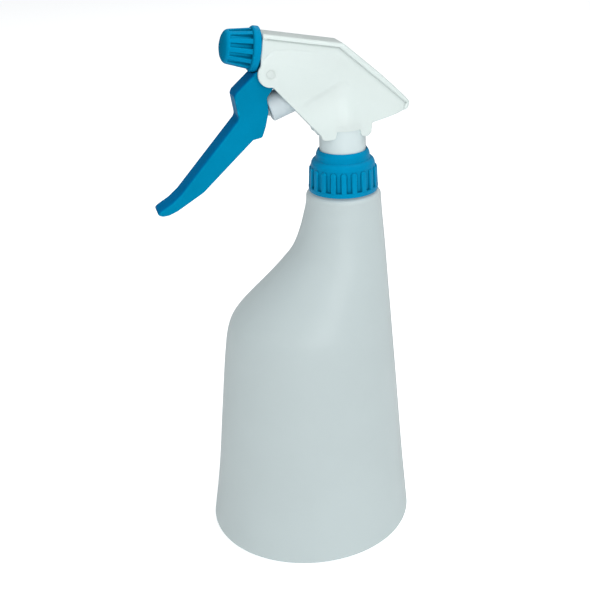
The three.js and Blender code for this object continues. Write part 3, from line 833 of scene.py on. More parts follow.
def bottle_rows():
    """Section rows from the middle of the underside, up outside and down inside, with the share
    of the mould seam each carries and the range of rows on the neck."""
    # underside: dished centre, standing ring, heel
    rows = [oval(0, DISH_INSET, DISH, s) for s in (0.12, 0.3, 0.5, 0.7, 0.85)]
    for inset in (22, 20, 18.5, 17, 15.5, 14, 12.5, 11, 10, 9.2):
        rows.append(oval(0, inset, DISH * dish(inset)))
    rows += [oval(0, inset, 0.0) for inset in (8.6, 7.2, 5.8)]
    heel_from = len(rows)
    for k in range(11):
        angle = rad(9 * k)
        rows.append(oval(0, HEEL * (1 - math.sin(angle)), HEEL * (1 - math.cos(angle))))
    side = [*np.arange(5.6, 100, 2.2), *np.arange(100, 134, 0.9), *np.arange(134, 173.5, 1.3)]
    rows += [oval(z) for z in side + [174.0]]
    rows += [circle(*row) for row in SHOULDER]
    neck_from = len(rows)
    rows += [circle(NECK_RADIUS, float(z)) for z in np.arange(177.2, 187.1, 0.28)]
    neck_to = len(rows)
    rows += [circle(*row) for row in LIP]
    inside = [*np.arange(172.5, 134, -2.4), *np.arange(133, 100, -1.8), *np.arange(99, 9, -5)]
    rows += [oval(float(z), WALL) for z in inside]
    for k in range(7):
        angle = rad(15 * k)
        rows.append(oval(0, WALL + INNER_HEEL * (1 - math.cos(angle)),
                         FLOOR + INNER_HEEL * (1 - math.sin(angle))))
    for inset in (6.5, 9.2, 11, 13, 15, 17, 18.5, 20):
        rows.append(oval(0, inset, FLOOR + (FLOOR_TOP - FLOOR) * dish(inset)))
    rows += [oval(0, DISH_INSET, FLOOR_TOP, s) for s in (0.9, 0.6, 0.3)]
    seam_share = np.zeros(len(rows))
    seam_share[heel_from + 3:neck_from - 6] = 1
    seam_share[neck_from:neck_to] = 0.6
    return rows, seam_share, range(neck_from, neck_to)


def bottle_angles():
    """Even angles, finer round the two lines where the halves of the mould met."""
    def clear(angle):
        gaps = [abs((angle - seam + math.pi) % TURN - math.pi) for seam in (0, math.pi)]
        return min(gaps) > SEAM_CLEAR

    angles = [angle for angle in np.arange(144) / 144 * 2 * math.pi if clear(angle)]
    for seam in (0, math.pi):
        for off in SEAM_ANGLES:
            angles += [(seam + side * off) % TURN for side in ((1, -1) if off else (1,))]
    return np.array(sorted(angles))


def pinch_bar():
    """The pinched line across the base, left where the tube of plastic was closed."""
    middle, half = oval(0)[:2]
    reach = half - 10.2
    low, high = [], []
    for x in np.linspace(-reach, reach, 41):
        z = DISH * dish(half - abs(x))
        fade = float(smooth((reach - abs(x)) / 4.0))
        low.append((middle + x, z - 0.42 * fade + 0.02))
        high.append((middle + x, z + 0.8))
    bar = prism("pinch", low + high[::-1], 0.55)
    apply_modifier(bar, "BEVEL", width=0.00018, segments=2, limit_method="ANGLE")
    return bar


def build_bottle():
    rows, seam_share, neck = bottle_rows()
    angles = bottle_angles()
    count = len(angles)
    off = np.minimum(np.abs((angles + math.pi) % TURN - math.pi), np.abs(angles - math.pi))
    seam = bell(off / SEAM_WIDTH) * SEAM_HEIGHT
    verts = []
    for j, (middle, half_x, half_y, z) in enumerate(rows):
        heights = np.full(count, z)
        if j in neck:
            half_x = half_y = thread(np.full(count, half_x), heights, angles,
                                     start=NECK_THREAD_Z, pitch=NECK_PITCH, turns=1.2,
                                     height=1.05, half_width=1.15)
        extra = seam * seam_share[j]
        verts += np.stack([middle + (half_x + extra) * np.cos(angles),
                           (half_y + extra) * np.sin(angles), heights], -1).tolist()
    ends = len(verts)
    verts += [(rows[0][0], 0, DISH), (rows[0][0], 0, FLOOR_TOP)]
    faces = ring_faces(len(rows), count)
    faces += fan(ends, 0, count, flip=True) + fan(ends + 1, ends - count, count)
    bottle = to_object("bottle_fine", verts, faces)
    boolean(bottle, [pinch_bar()], "UNION")
    place(bottle, "bottle", "bottle", "natural_bottle", angle=40)


build_bottle()

# ------------------------------------------------------------------ closure and gasket
RIBS = 20
RIB_PHASE = rad(-106.0)
# (radius, z, rounding)
CLOSURE_FOOT = [(15.6, 177.0), (16.02, 177.0, 0.3), (16.14, 178.8, 0.35), (15.98, 179.0, 0.1)]
CLOSURE_TOP = [(15.65, 187.15), (15.42, 187.98, 0.5), (14.92, 188.28, 0.25), (14.76, 188.75, 0.5),
               (14.55, 190.1, 0.7), (14.05, 190.98, 0.5), (13.4, 191.58, 0.6),
               (12.62, 191.98, 0.12), (12.44, 192.6, 0.15), (12.2, 194.3, 0.6),
               (11.75, 195.35, 0.5), (11.2, 196.12, 0.2), (10.95, 196.1, 0.1),
               (10.95, 190.65, 0.1), (13.45, 190.65, 0.2), (13.45, 187.95, 0.1), (14.2, 187.35)]


def closure_shape(radii, heights, angles):
    """Grooves with arched tops between the ribs, and the thread inside."""
    up = np.clip((heights - 187.0) / 1.3, 0, 1)
    rib_half = 0.205 * np.sqrt(np.maximum(1 - up ** 2, 0))
    cut = smooth((from_rib(angles, RIBS, RIB_PHASE) - rib_half) / 0.10)
    floor = np.interp(heights, [179.0, 187.0, 188.6], [14.98, 14.84, 14.70])
    start = smooth((heights - 178.98) / 0.4)
    skirt = (heights > 178.95) & (heights < 188.7) & (radii > 14.65)
    radii = np.where(skirt, grooved(radii, floor, cut * start), radii)
    bore = (radii > 14.15) & (radii < 14.3) & (heights < 187.3) & (heights > 177.5)
    ridged = thread(radii, heights, angles, start=NECK_THREAD_Z + NECK_PITCH / 2,
                    pitch=NECK_PITCH, turns=1.05, height=0.75, half_width=1.05, sign=-1)
    return np.where(bore, ridged, radii)


def build_closure():
    rows = list(fillet(CLOSURE_FOOT, closed=False))
    for z in (179.06, 179.14, 179.24, 179.36, 179.5, 179.9, 181.0, 183.0, 185.0, 186.3, 186.8,
              187.05):
        rows.append((16.0 + (15.65 - 16.0) * (z - 179.0) / 8.2, z))
    rows += list(dense(fillet(CLOSURE_TOP, step=12, closed=False), 0.22, closed=False))
    rows += [(14.2, float(z)) for z in np.arange(187.2, 177.6, -0.3)]
    rows += [(14.2, 177.4), (14.35, 177.12), (14.55, 177.0)]
    closure = revolve("closure_fine", rows, RIBS * 24, shape=closure_shape)
    place(closure, "closure", "closure", "blue_plastic", angle=34)


build_closure()
turned_piece("neck_gasket", "gasket", "gasket_foam",
             [(9.6, 187.9, 0.25), (13.0, 187.9, 0.25), (13.0, 188.9, 0.25), (9.6, 188.9, 0.25)],
             96, step=14)

# ------------------------------------------------------------------ shroud
# (x, z)
ROOF_BEND, ROOF_FRONT, TAIL = (-0.6, 244.4), (-35.9, 251.3), (32.3, 215.7)
END_FOOT = (29.6, 212.6)
CREASE_FROM, CREASE_TO = (-20.37, 219.6), (-1.09, 229.08)
FRONT_SLOPE = (ROOF_FRONT[1] - ROOF_BEND[1]) / (ROOF_BEND[0] - ROOF_FRONT[0])
REAR_SLOPE = (ROOF_BEND[1] - TAIL[1]) / (TAIL[0] - ROOF_BEND[0])
SHROUD_HALF = 9.5
SHROUD_WALL = 1.5
HINGE_RADIUS = 5.6
# (x, z, rounding) round the side, after the arc about the hinge
SHROUD_REST = [(-33.0, 228.4, 2.0), (-12.6, 205.3, 1.5), (-12.0, 203.6, 0.6), (-10.9, 202.9, 0.8),
               (-7.0, 202.9, 0.8), (-5.9, 203.6, 0.5), (-5.4, 206.4, 0.4), (5.4, 206.4, 0.4),
               (6.0, 203.8, 0.6), (7.2, 203.0, 0.8), (9.6, 203.0, 1.2), (11.0, 204.4, 1.0),
               (11.5, 208.7, 0.5), (*END_FOOT, 1.0), (*TAIL, 1.1), (*ROOF_BEND, 1.2)]
SHROUD_RINGS = [0.02, 0.07, 0.15, 0.27, 0.42, 0.6, 0.8, 1.05, 1.3, 1.5, 1.64, 1.78, 1.92, 2.08,
                2.25, 2.42, 2.6, 2.78, 3.0, 3.3, 3.7]
HINGE_RINGS = (0.5, 0.9, 1.2, 1.45, 1.6, 1.72, 1.85, 1.98, 2.1, 2.3, 2.6, 2.9)


def roof_inside(drop):
    """The roof moved in by drop: the bend's x, then the z of its front and rear runs at x."""
    front_drop, rear_drop = drop * math.hypot(1, FRONT_SLOPE), drop * math.hypot(1, REAR_SLOPE)
    bend_x, bend_z = ROOF_BEND
    return (bend_x - (rear_drop - front_drop) / (REAR_SLOPE - FRONT_SLOPE),
            lambda x: bend_z - FRONT_SLOPE * (x - bend_x) - front_drop,
            lambda x: bend_z - REAR_SLOPE * (x - bend_x) - rear_drop)


def plan_wrap(start, tip, half):
    """The plan rounding of the rear end: u is x up to start, then runs round to the tip."""
    span = tip - start

    def to_u(points):
        points = np.array(points, float)
        x = points[:, 0]
        share = np.clip((x - start) / span, 0, 0.9995)
        points[:, 0] = np.where(x > start, start + span * np.arcsin(share), x)
        return points

    def surface(points):
        u, z = points.T
        bent = u > start
        turn = np.clip((u - start) / span, 0, math.pi / 2 - 0.01)
        x = np.where(bent, start + span * np.sin(turn), u)
        y = -half * np.cos(turn) ** 0.7
        # outward normal of the plan curve
        normal_x = half * 0.7 * np.cos(turn) ** -0.3 * np.sin(turn)
        normal_y = -span * np.cos(turn)
        length = np.hypot(normal_x, normal_y)
        normal_x, normal_y = np.where(bent, normal_x / length, 0), np.where(bent, normal_y / length, -1)
        return np.stack([x, y, z], -1), np.stack([normal_x, normal_y, np.zeros_like(x)], -1)

    return to_u, surface


to_wrap, wrap_surface = plan_wrap(15.0, 32.8, SHROUD_HALF)
FRONT_EDGE = np.array([ROOF_FRONT, ROOF_BEND])
REAR_EDGE = to_wrap(dense([ROOF_BEND, TAIL], 0.5, closed=False))
END_EDGE = to_wrap(dense([TAIL, END_FOOT], 0.5, closed=False))


def cheek_rise(x, z):
    """Raised cheek over the trigger's hinge, fading rearwards."""
    edge_z = np.interp(x, [-37.5, -35.9, -34.0, -31.5, -24.8, -14.7, -4.0],
                       [240.2, 241.4, 242.9, 243.8, 243.5, 241.8, 240.2])
    return (smooth((edge_z - z) / 0.7 + 0.5) * (1 - smooth((x + 20.0) / 14.0))
            * smooth((z - 222.0) / 10.0))


def crease_depth(x, z):
    """Soft crease running up and back."""
    (from_x, from_z), (to_x, to_z) = CREASE_FROM, CREASE_TO
    normal = np.array([-(to_z - from_z), to_x - from_x])
    normal = normal / np.linalg.norm(normal)
    side = (x - from_x) * normal[0] + (z - from_z) * normal[1]
    along = (x - from_x) * normal[1] - (z - from_z) * normal[0]
    return (0.4 * smooth(0.5 - side / 2.6) * smooth((along + 3.0) / 5.0)
            * (1 - smooth((along - 15.0) / 9.0)) * smooth((side + 14.0) / 12.0))


def over_collar(x, z, distance, own):
    """Half width blended with the swell over the round collar, drawn in again at its edge."""
    swell = np.interp(z, [200, 209.3, 212.5, 216, 220, 225, 230],
                      [10.9, 10.88, 10.4, 9.8, 9.1, 8.2, 6.5])
    out = np.sqrt(np.maximum(swell ** 2 - x * x, 0.01))
    out -= round_edge(distance, 0.3)
    blend = 0.8 * smooth((12.5 - np.abs(x)) / 3.0) * smooth((229.0 - z) / 6.0)
    merged = 0.5 * (own + out + np.sqrt((own - out) ** 2 + blend * blend))
    return np.where(blend > 0, merged, own)


def shroud_inward(points, distance):
    x, z = points.T
    to_front = distance_to_line(points, FRONT_EDGE)
    to_rear = distance_to_line(points, REAR_EDGE)
    to_roof = np.minimum(to_front, to_rear)
    to_lip = np.minimum(to_rear, distance_to_line(points, END_EDGE))
    # the sides draw in towards the roof and flare towards the feet
    depth = 1.1 * np.clip(1 - to_roof / 12.0, 0, 1)
    depth -= 0.75 * smooth((224.0 - z) / 16.0) * (1 - smooth((x - 2.0) / 12.0))
    # rounded edges, fuller along the roof
    depth += round_edge(to_roof, 1.5)
    depth += round_edge(distance, 0.45)
    # below the roof's lip the side stands back, with a narrow cove under the lip
    depth += 0.62 * (smooth((to_front - 1.45) / 0.45) * smooth((to_lip - 2.15) / 0.7))
    depth += 0.19 * bell(np.minimum((to_front - 2.0) / 0.4, (to_lip - 2.9) / 0.6)) * (x > -34.5)
    depth -= 0.38 * cheek_rise(x, z) * smooth((to_roof - 3.0) / 1.0)
    depth += crease_depth(x, z)
    # the ring of the hinge's moulded end
    off = np.hypot(x - PIVOT_X, z - PIVOT_Z)
    depth += 0.10 * bell((off - 1.85) / 0.24) - 0.05 * (1 - smooth((off - 1.4) / 0.3))
    return SHROUD_HALF - over_collar(x, z, distance, SHROUD_HALF - depth)


def shroud_hollow():
    """The space inside the shroud, open to the front and below."""
    bend_x, front_z, rear_z = roof_inside(SHROUD_WALL)
    to_inner, inner_surface = plan_wrap(14.5, 31.0, SHROUD_HALF - SHROUD_WALL)
    front, bottom, rear = -60, 150, 30.9
    front_top, rear_top = (front, front_z(front)), (rear, rear_z(rear))
    outline = fillet([front_top, (bend_x, front_z(bend_x), 1.0), (*rear_top, 0.8),
                      (rear, bottom), (front, bottom)])
    back_run = dense([(bend_x, front_z(bend_x)), rear_top], 0.5, closed=False)
    ceiling = to_inner(np.concatenate([[front_top], back_run]))

    def inward(points, distance):
        up = distance_to_line(points, ceiling)
        return round_edge(distance, 0.5) + 1.1 * np.clip(1 - up / 6.0, 0, 1)

    return pillow("hollow", tidy(to_inner(dense(outline, 1.2)), 0.08),
                  [0.1, 0.3, 0.6, 1.5, 3.5, 6.0], 2.5, inner_surface, inward)


def build_shroud():
    arc = []
    for k in range(17):
        angle = rad(138 + k * 8.5)
        arc.append((PIVOT_X + HINGE_RADIUS * math.cos(angle),
                    PIVOT_Z + HINGE_RADIUS * math.sin(angle)))
    outline = [(-36.15, 251.35, 0.7), (-37.75, 242.2, 2.0)] + arc + SHROUD_REST
    hinge = [(PIVOT_X + radius * math.cos(angle), PIVOT_Z + radius * math.sin(angle))
             for radius in HINGE_RINGS for angle in np.arange(48) / 48 * 2 * math.pi]
    pivot = (PIVOT_X, PIVOT_Z)
    shroud = pillow("shroud_fine", tidy(to_wrap(dense(fillet(outline), 0.45)), 0.08),
                    SHROUD_RINGS, 0.55, wrap_surface, shroud_inward,
                    spot=(np.array(pivot), 3.05, np.array(hinge + [pivot])), across=8)
    collar_room = [(0, 190), (10.66, 190), (10.66, 209.1, 0.8), (9.78, 212.2, 0.8),
                   (6.35, 214.75, 0.6), (5.5, 215.6, 0.3), (0, 215.6)]
    cuts = [shroud_hollow(), revolve("collar_room", fillet(collar_room, closed=False), 128)]
    socket = [(0, 0), (2.3, 0), (2.3, 0.97), (2.1, 1.17), (0, 1.17)]
    for side in (-1, 1):
        cuts.append(revolve("socket", socket, 48, pivot_frame(side, SHROUD_HALF - 1.55)))
    boolean(shroud, cuts, "DIFFERENCE")
    place(shroud, "shroud", "pump", "white_plastic", angle=33)


build_shroud()

# ------------------------------------------------------------------ pump body
NOZZLE_PITCH = 2.5
VENT_ENDS = ((-20.2, 218.2), (-8.1, 201.0))       # (x, z)
# (radius, z, rounding)
COLLAR = [(0, 184.5), (7.2, 184.5, 0.3), (7.2, 203), (9.1, 203), (9.1, 189.0), (13.1, 189.0, 0.2),
          (13.1, 190.4, 0.3), (10.6, 190.4, 0.25), (10.6, 209.0, 1.2), (9.7, 212.1, 1.2),
          (6.2, 214.6, 0.8), (4.4, 216.0, 0.8), (4.4, 236.2, 0.3), (0, 236.2)]
BARREL = [(0, -37.6), (4.0, -37.6, 0.5), (4.0, 10.0, 0.5), (0, 10.0)]
INLET = [(0, 184), (5.25, 184), (5.25, 197.6), (3.1, 197.6), (3.1, 203.6), (1.9, 204.8),
         (1.9, 236.7), (0, 236.7)]
OUTLET = [(0, -37.0), (1.4, -37.0), (1.4, -1.6), (2.7, -0.3), (2.7, 11.0), (0, 11.0)]
WEB = [(-25, 226, 1), (-25, 241), (-4, 238), (-4, 216), (-7, 212), (-19, 218, 1)]     # x, z


def rod(name, radius, start, end, count, matrix=None, chamfer=0.0):
    """A solid rod along z, its end edges rounded by chamfer."""
    profile = [(0, start), (radius, start, chamfer), (radius, end, chamfer), (0, end)]
    return revolve(name, fillet(profile, closed=False), count, matrix)


def vent_rod(name, radius, count):
    start, end = [np.array([x, 0, z], float) for x, z in VENT_ENDS]
    length = float(np.linalg.norm(end - start))
    return revolve(name, [(0, 0), (radius, 0), (radius, length), (0, length)], count,
                   axis_frame(start, end - start))


def barrel_shape(radii, heights, angles):
    ridged = thread(radii, heights, angles, start=1.6, pitch=NOZZLE_PITCH, turns=1.2,
                    height=0.5, half_width=0.75)
    return np.where(radii > 3.95, ridged, radii)


def build_pump_body():
    body = revolve("pump_body_fine", fillet(COLLAR, closed=False), 144)
    vent = vent_rod("vent", radius=1.7, count=40)
    boolean(vent, [rod("low", radius=30, start=190, end=203.4, count=16)], "DIFFERENCE")
    barrel = dense(fillet(BARREL, closed=False), 0.3, closed=False)
    adds = [
        revolve("barrel", barrel, 72, NOZZLE, barrel_shape),
        rod("cylinder", radius=7.6, start=11.0, end=26.8, count=96, matrix=PUMP, chamfer=0.5),
        rod("bridge", radius=3.4, start=25.8, end=35.2, count=48, matrix=PUMP),
        prism("web", fillet(WEB), 0.8),
        vent,
    ]
    boolean(body, adds, "UNION")
    bend_x, front_z, rear_z = roof_inside(1.85)
    above_roof = [(-60, front_z(-60)), (bend_x, front_z(bend_x)), (50, rear_z(50)),
                  (50, 290), (-60, 290)]
    cuts = [
        prism("above", above_roof, 20),
        revolve("inlet", INLET, 48),
        rod("bore", radius=6.5, start=10.0, end=25.4, count=96, matrix=PUMP),
        rod("port", radius=1.2, start=24.8, end=34.5, count=24, matrix=PUMP),
        revolve("outlet", OUTLET, 48, NOZZLE),
        vent_rod("airway", radius=0.7, count=20),
    ]
    boolean(body, cuts, "DIFFERENCE")
    place(body, "pump_body", "pump", "white_body_plastic", angle=34)


build_pump_body()

# ------------------------------------------------------------------ springs and balls
# seats: where the wire's outside rests along the axis; wire and coil are radii
RETURN_SPRING = dict(seats=(2.5, 24.7), coil=3.7, wire=0.45, turns=7.5, dead=1.0, per_turn=40)
OUTLET_SPRING = dict(seats=(3.75, 7.0), coil=1.75, wire=0.25, turns=4.0, dead=0.75, per_turn=36)


def build_spring(node, matrix, sides, seats, coil, wire, turns, dead, per_turn):
    path = coil_path(coil, seats[0] + wire, seats[1] - wire, turns, dead, wire, per_turn)
    spring = sweep(f"{node}_fine", path, wire, sides, matrix)
    place(spring, node, "pump", "spring_steel", angle=60, tidy_up=False)
    return spring


def squash_spring(spring):
    """Gives the spring a mesh of its own."""
    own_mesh(spring)


def build_ball(node, radius, height, matrix=None):
    profile = [(radius * math.cos(rad(a)), height + radius * math.sin(rad(a)))
               for a in np.linspace(-90, 90, 33)[1:-1]]
    profile = [(0, height - radius)] + profile + [(0, height + radius)]
    ball = revolve(f"{node}_fine", profile, 64, matrix)
    place(ball, node, node, "ball_steel", angle=60)


# ------------------------------------------------------------------ pieces on the pump axis
# the piston's finish is the darker copy of the cool white, painted shade under the hood
turned_piece("piston", "piston", "white_body_plastic",
             [(2.0, -0.4, 0.2), (6.3, -0.4, 1.1), (6.3, 11.4, 0.15), (5.6, 11.4), (5.6, 12.6),
              (6.3, 12.6, 0.15), (6.3, 14.2, 0.15), (5.2, 14.2), (5.2, 16.6), (6.1, 16.6, 0.2),
              (6.1, 17.3, 0.2), (4.6, 17.3, 0.2), (4.6, 1.8, 0.4), (2.0, 1.8, 0.2)],
             112, PUMP, finish="shaded_plunger_plastic")
turned_piece("piston_rod", "piston", "grey_plastic",
             [(0, -2.8), (1.0, -2.76, 1.0), (2.4, -2.3, 1.2), (3.4, -0.95, 0.6),
              (3.4, -0.5, 0.12), (1.85, -0.5), (1.85, 4.2, 0.3), (1.4, 4.8, 0.2), (0, 4.8)],
             72, PUMP)
turned_piece("vent_seal", "piston", "seal_plastic",
             [(5.65, 11.5, 0.1), (6.25, 11.5, 0.15), (6.42, 12.0, 0.3), (6.25, 12.5, 0.15),
              (5.65, 12.5, 0.1)], 96, PUMP)
turned_piece("piston_seal", "piston", "seal_plastic",
             [(5.3, 14.35, 0.1), (6.2, 14.35, 0.1), (6.4, 14.8, 0.15), (6.1, 15.4, 0.4),
              (6.4, 16.0, 0.15), (6.2, 16.45, 0.1), (5.3, 16.45, 0.1)], 96, PUMP)
return_spring = build_spring("return_spring", PUMP, sides=12, **RETURN_SPRING)

# ------------------------------------------------------------------ inlet
turned_piece("tube_holder", "pump", "natural_plastic",
             [(3.15, 182.8, 0.3), (7.0, 182.8, 0.3), (7.0, 184.2, 0.25), (5.1, 184.2, 0.2),
              (5.1, 197.3, 0.4), (2.75, 197.3, 0.15), (1.5, 196.0, 0.2), (1.5, 193.2),
              (3.15, 193.2)], 80)
turned_piece("dip_tube", "pump", "natural_plastic",
             [(2.1, 12.0, 0.15), (3.0, 12.0, 0.2), (3.0, 193.0, 0.2), (2.1, 193.0, 0.15)], 56)


def build_strainer():
    """A cup on the tube's foot, slotted right through four ways."""
    profile = [(0, 6.4), (3.6, 6.4, 0.5), (4.5, 7.2, 0.4), (4.5, 18.6, 0.4), (4.1, 19.4, 0.3),
               (3.15, 19.4, 0.2), (3.15, 11.6, 0.2), (2.4, 11.6), (2.4, 8.0, 0.3), (0, 8.0)]
    strainer = revolve("tube_strainer_fine", fillet(profile, closed=False), 72)
    slots = []
    for k in range(4):
        matrix = turned_frame(k * math.pi / 4, "Z", (0, 0, 9.6))
        slots.append(rounded_bar("slot", half_x=6.0, half_y=0.6, start=-1.2, end=1.2,
                                 radius=0.25, matrix=matrix))
    boolean(strainer, slots, "DIFFERENCE")
    place(strainer, "tube_strainer", "pump", "strainer_plastic", angle=36)


build_strainer()
build_ball("inlet_ball", radius=2.4, height=199.1)

# ------------------------------------------------------------------ outlet
build_ball("outlet_ball", radius=2.2, height=1.62, matrix=NOZZLE)
outlet_spring = build_spring("outlet_spring", NOZZLE, sides=10, **OUTLET_SPRING)


def build_swirl_insert():
    """A headed plug with two crossed grooves in its end."""
    profile = [(0, 7.4), (2.5, 7.4, 0.2), (2.5, 10.15), (3.7, 10.15, 0.15), (3.7, 10.95, 0.12),
               (0, 10.95)]
    insert = revolve("swirl_insert_fine", fillet(profile, closed=False), 64, NOZZLE)
    cuts = []
    for k in range(2):
        matrix = NOZZLE @ turned_frame(k * math.pi / 2, "Z")
        cuts.append(rounded_bar("swirl", half_x=4.5, half_y=0.35, start=10.7, end=11.4,
                                radius=0.1, matrix=matrix))
    boolean(insert, cuts, "DIFFERENCE")
    place(insert, "swirl_insert", "pump", "natural_plastic", angle=36)


build_swirl_insert()
turned_piece("nozzle_seal", "nozzle_slide", "black_rubber",
             [(4.15, 6.9, 0.2), (5.1, 6.9, 0.2), (5.25, 7.5, 0.3), (5.1, 8.1, 0.2),
              (4.15, 8.1, 0.2)], 80, NOZZLE)

FLUTES = 12
# (radius, height, rounding)
NOZZLE_FLANGE = [(5.4, 0.0, 0.2), (9.25, 0.0, 0.45), (9.7, 0.5, 0.5), (9.7, 2.6, 0.8),
                 (9.15, 3.3, 0.5), (8.72, 3.4, 0.1)]
NOZZLE_TIP = [(7.4, 12.6), (7.2, 13.6, 1.4), (6.45, 14.6, 1.8), (5.0, 15.45, 2.6),
              (3.0, 16.02, 4.0), (1.3, 16.2, 0.25), (0.85, 15.7, 0.2), (0.5, 15.6, 0.1)]


def nozzle_shape(radii, heights, angles):
    """Flutes from the flange to the tip, and the thread inside."""
    cut = smooth((from_rib(angles, FLUTES) - 0.22) / 0.10)
    floor = np.interp(heights, [3.4, 12.6, 14.0], [7.3, 6.85, 6.6])
    end = smooth((heights - 3.42) / 0.3)
    fade = 1 - smooth((heights - 12.4) / 1.3)
    fluted = (heights > 3.38) & (heights < 13.8) & (radii > 6.5)
    radii = np.where(fluted, grooved(radii, floor, cut * end * fade), radii)
    bore = (radii < 5.45) & (radii > 5.3) & (heights < 11.1) & (heights > 0.35)
    ridged = thread(radii, heights, angles, start=2.85, pitch=NOZZLE_PITCH, turns=1.0,
                    height=0.45, half_width=0.7, sign=-1)
    return np.where(bore, ridged, radii)


def build_nozzle():
    rows = list(fillet(NOZZLE_FLANGE, step=12, closed=False))
    for z in [*np.arange(3.46, 4.5, 0.13), *np.arange(4.7, 12.0, 0.7), 12.3]:
        rows.append((8.68 + (7.42 - 8.68) * (z - 3.4) / 9.0, float(z)))
    rows += list(dense(fillet(NOZZLE_TIP, step=9, closed=False), 0.3, closed=False))
    rows += [(0.5, 11.5), (5.2, 11.5), (5.4, 11.3)]
    rows += [(5.4, float(z)) for z in np.arange(11.0, 0.4, -0.25)]
    cap = revolve("nozzle_cap_fine", rows, FLUTES * 30, NOZZLE, nozzle_shape)
    place(cap, "nozzle_cap", "nozzle", "blue_plastic", angle=34, finish="blue_nozzle")


build_nozzle()

# ------------------------------------------------------------------ trigger
# (x, z, rounding) down the front, up the back, and round the channel inside
TRIGGER_FRONT = [(-41.2, 233.9, 0.6), (-49.0, 227.2, 1.6), (-49.8, 225.6, 1.6),
                 (-48.35, 215.8, 3.2), (-76.4, 185.0, 6.0), (-80.6, 181.5, 4.0),
                 (-87.1, 177.7, 1.0)]
TRIGGER_BACK = [(-87.1, 176.5, 0.9), (-86.2, 175.75, 1.2), (-84.6, 175.6, 1.5),
                (-82.0, 176.0, 3.0), (-78.4, 177.4, 5.0), (-66.2, 184.5, 8.0),
                (-42.5, 205.8, 1.6), (-38.3, 206.5, 1.6), (-36.5, 211.3, 3.0),
                (-34.95, 217.7, 3.0), (-35.4, 223.8, 2.0), (-33.4, 226.4, 2.0),
                (-30.4, 230.6, 2.0), (-30.0, 233.0, 1.5), (-30.2, 236.0, 1.5),
                (-32.0, 238.0, 1.5), (-36.0, 238.0, 1.2), (-38.4, 236.4, 1.0)]
CHANNEL = [(-36.0, 240.0), (-39.9, 234.6, 0.5), (-47.9, 226.3, 0.6), (-46.7, 216.9, 1.0),
           (-47.6, 213.6, 1.5), (-74.6, 184.6, 2.0), (-78.0, 181.4, 0.6), (-77.0, 176.0),
           (-62.0, 183.0), (-41.0, 202.0), (-33.0, 203.0), (-32.0, 225.0), (-25.0, 232.0),
           (-25.0, 240.0)]
TRIGGER_RINGS = [0.02, 0.07, 0.15, 0.25, 0.35, 0.5, 0.7, 0.95, 1.25, 1.6]
TRIGGER_HALF = 5.9
TRIGGER_WALL = 1.15


def trigger_surface(points):
    x, z = points.T
    face = np.stack([x, np.full(len(x), -TRIGGER_HALF), z], -1)
    return face, np.tile([0.0, -1.0, 0.0], (len(x), 1))


def trigger_inward(points, distance):
    """Rounded edges, fuller down the front; the finger end is rounded in plan."""
    to_front = distance_to_line(points, fillet(TRIGGER_FRONT, closed=False))
    edge = round_edge(distance, np.where(to_front < distance + 0.25, 1.2, 0.6))
    x, z = points.T
    tip = np.clip(1 - ((x + 87.6) * 0.78 + (z - 176.2) * 0.63) / 3.8, 0, 1)
    return edge + 2.6 * (1 - np.sqrt(1 - tip * tip))


def build_trigger():
    outline = tidy(dense(fillet(TRIGGER_FRONT + TRIGGER_BACK, step=10), 0.5), 0.06)
    trigger = pillow("trigger_fine", outline, TRIGGER_RINGS, 1.2, trigger_surface,
                     trigger_inward)
    channel = prism("channel", fillet(CHANNEL), TRIGGER_HALF - TRIGGER_WALL)
    boolean(trigger, [channel], "DIFFERENCE")
    adds = [rounded_bar("rib", half_x=2.8, half_y=TRIGGER_HALF - 0.6, start=-4.9, end=-3.1,
                        radius=0.25, matrix=PUMP)]
    for side in (-1, 1):
        adds.append(rod("axle", radius=1.95, start=0.0, end=4.0, count=48,
                        matrix=pivot_frame(side, 5.0), chamfer=0.3))
    boolean(trigger, adds, "UNION")
    # room for the nozzle's flange
    skirt = rod("skirt", radius=10.35, start=-0.5, end=30, count=144, matrix=NOZZLE)
    boolean(trigger, [skirt], "DIFFERENCE")
    place(trigger, "trigger", "trigger", "blue_plastic", angle=30, finish="blue_trigger")


build_trigger()

# the springs get meshes of their own
squash_spring(return_spring)
squash_spring(outlet_spring)

# ------------------------------------------------------------------ floor, light, camera
scene = bpy.context.scene
scene.view_settings.view_transform = "Standard"


def floor_material():
    """A pale sweep, unseen from below and by shadow rays, with some light of its own for the
    camera only."""
    material, tree = new_material("studio_floor")
    nodes = Nodes(tree)
    surface = nodes.add("BsdfPrincipled", {"Base Color": (0.93, 0.935, 0.935, 1),
                                           "Roughness": 0.8, "Specular IOR Level": 0.1})
    clear = nodes.add("BsdfTransparent")
    backfacing = nodes.add("NewGeometry").outputs["Backfacing"]
    rays = nodes.add("LightPath").outputs
    hidden = nodes.maths("MAXIMUM", backfacing, rays["Is Shadow Ray"])
    strength = nodes.maths("MULTIPLY", rays["Is Camera Ray"], 0.62)
    glow = nodes.add("Emission", {"Color": (0.98, 0.99, 1.0, 1), "Strength": strength})
    lit = nodes.add("AddShader", {0: surface, 1: glow})
    mixed = nodes.add("MixShader", {0: hidden, 1: lit, 2: clear})
    nodes.add("OutputMaterial", {0: mixed})
    return material


def build_floor(half=3.0):
    mesh = bpy.data.meshes.new("floor")
    corners = [(-half, -half, 0), (half, -half, 0), (half, half, 0), (-half, half, 0)]
    mesh.from_pydata(corners, [], [(0, 1, 2, 3)])
    floor = bpy.data.objects.new("floor", mesh)
    scene.collection.objects.link(floor)
    mesh.materials.append(floor_material())


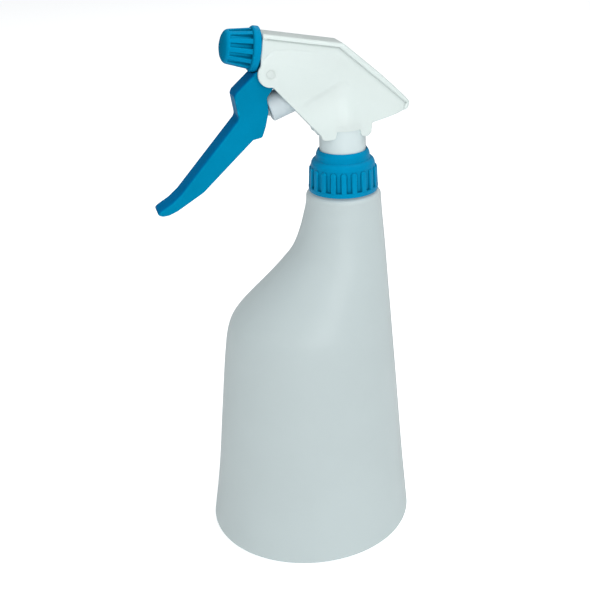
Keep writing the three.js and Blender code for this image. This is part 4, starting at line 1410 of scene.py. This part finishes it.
def build_world():
    """The camera sees a pale backdrop, while the light the room gives stays soft and low."""
    room_light, camera_extra = 0.30, 0.76
    world = bpy.data.worlds.new("studio")
    scene.world = world
    world.use_nodes = True
    nodes = Nodes(world.node_tree)
    is_camera = nodes.add("LightPath").outputs["Is Camera Ray"]
    strength = nodes.add("Math", {0: is_camera, 1: camera_extra, 2: room_light},
                         operation="MULTIPLY_ADD")
    nodes.feed(world.node_tree.nodes["Background"],
               {"Color": (0.97, 0.985, 1.0, 1), "Strength": strength})


def direction(azimuth, elevation):
    """Unit vector towards a viewpoint; azimuth 0 is -y and grows towards +x."""
    turn, lift = rad(azimuth), rad(elevation)
    return Vector((math.sin(turn) * math.cos(lift), -math.cos(turn) * math.cos(lift),
                   math.sin(lift)))


def area(name, azimuth, elevation, distance, size, power):
    """A square area light aimed at the middle of the product, in metres and watts."""
    back = direction(azimuth, elevation)
    data = bpy.data.lights.new(name, "AREA")
    data.shape = "RECTANGLE"
    data.size = data.size_y = size
    data.energy = power
    light = bpy.data.objects.new(name, data)
    light.location = (CAD_BOX[0] + CAD_BOX[1]) / 2 + back * distance
    light.rotation_mode = "QUATERNION"
    light.rotation_quaternion = (-back).to_track_quat("-Z", "Y")
    scene.collection.objects.link(light)


def build_camera():
    distance = 0.482367           # metres from the target
    target = Vector((NECK_X - 25.274, 0, 125.973)) / 1000
    back, roll = direction(azimuth=-13.972, elevation=24.773), rad(-2.417)
    data = bpy.data.cameras.new("camera")
    data.sensor_width = 36.0
    data.lens = 61.310685
    data.clip_start, data.clip_end = 0.01, 20
    camera = bpy.data.objects.new("camera", data)
    level = (-back).cross(Vector((0, 0, 1))).normalized()
    upright = level.cross(-back)
    right = math.cos(roll) * level + math.sin(roll) * upright
    up = -math.sin(roll) * level + math.cos(roll) * upright
    turn = Matrix((right, up, back)).transposed()
    camera.matrix_world = Matrix.Translation(target + back * distance) @ turn.to_4x4()
    scene.collection.objects.link(camera)
    scene.camera = camera


build_floor()
build_world()
area("key", azimuth=-2, elevation=20, distance=1.5, size=1.0, power=8.5)
area("fill", azimuth=-56, elevation=30, distance=1.6, size=1.2, power=3.0)
area("overhead", azimuth=50, elevation=70, distance=1.4, size=1.0, power=8.0)
area("back_light", azimuth=158, elevation=40, distance=1.6, size=0.7, power=2.6)
area("under", azimuth=20, elevation=-70, distance=1.2, size=1.0, power=1.5)
build_camera()
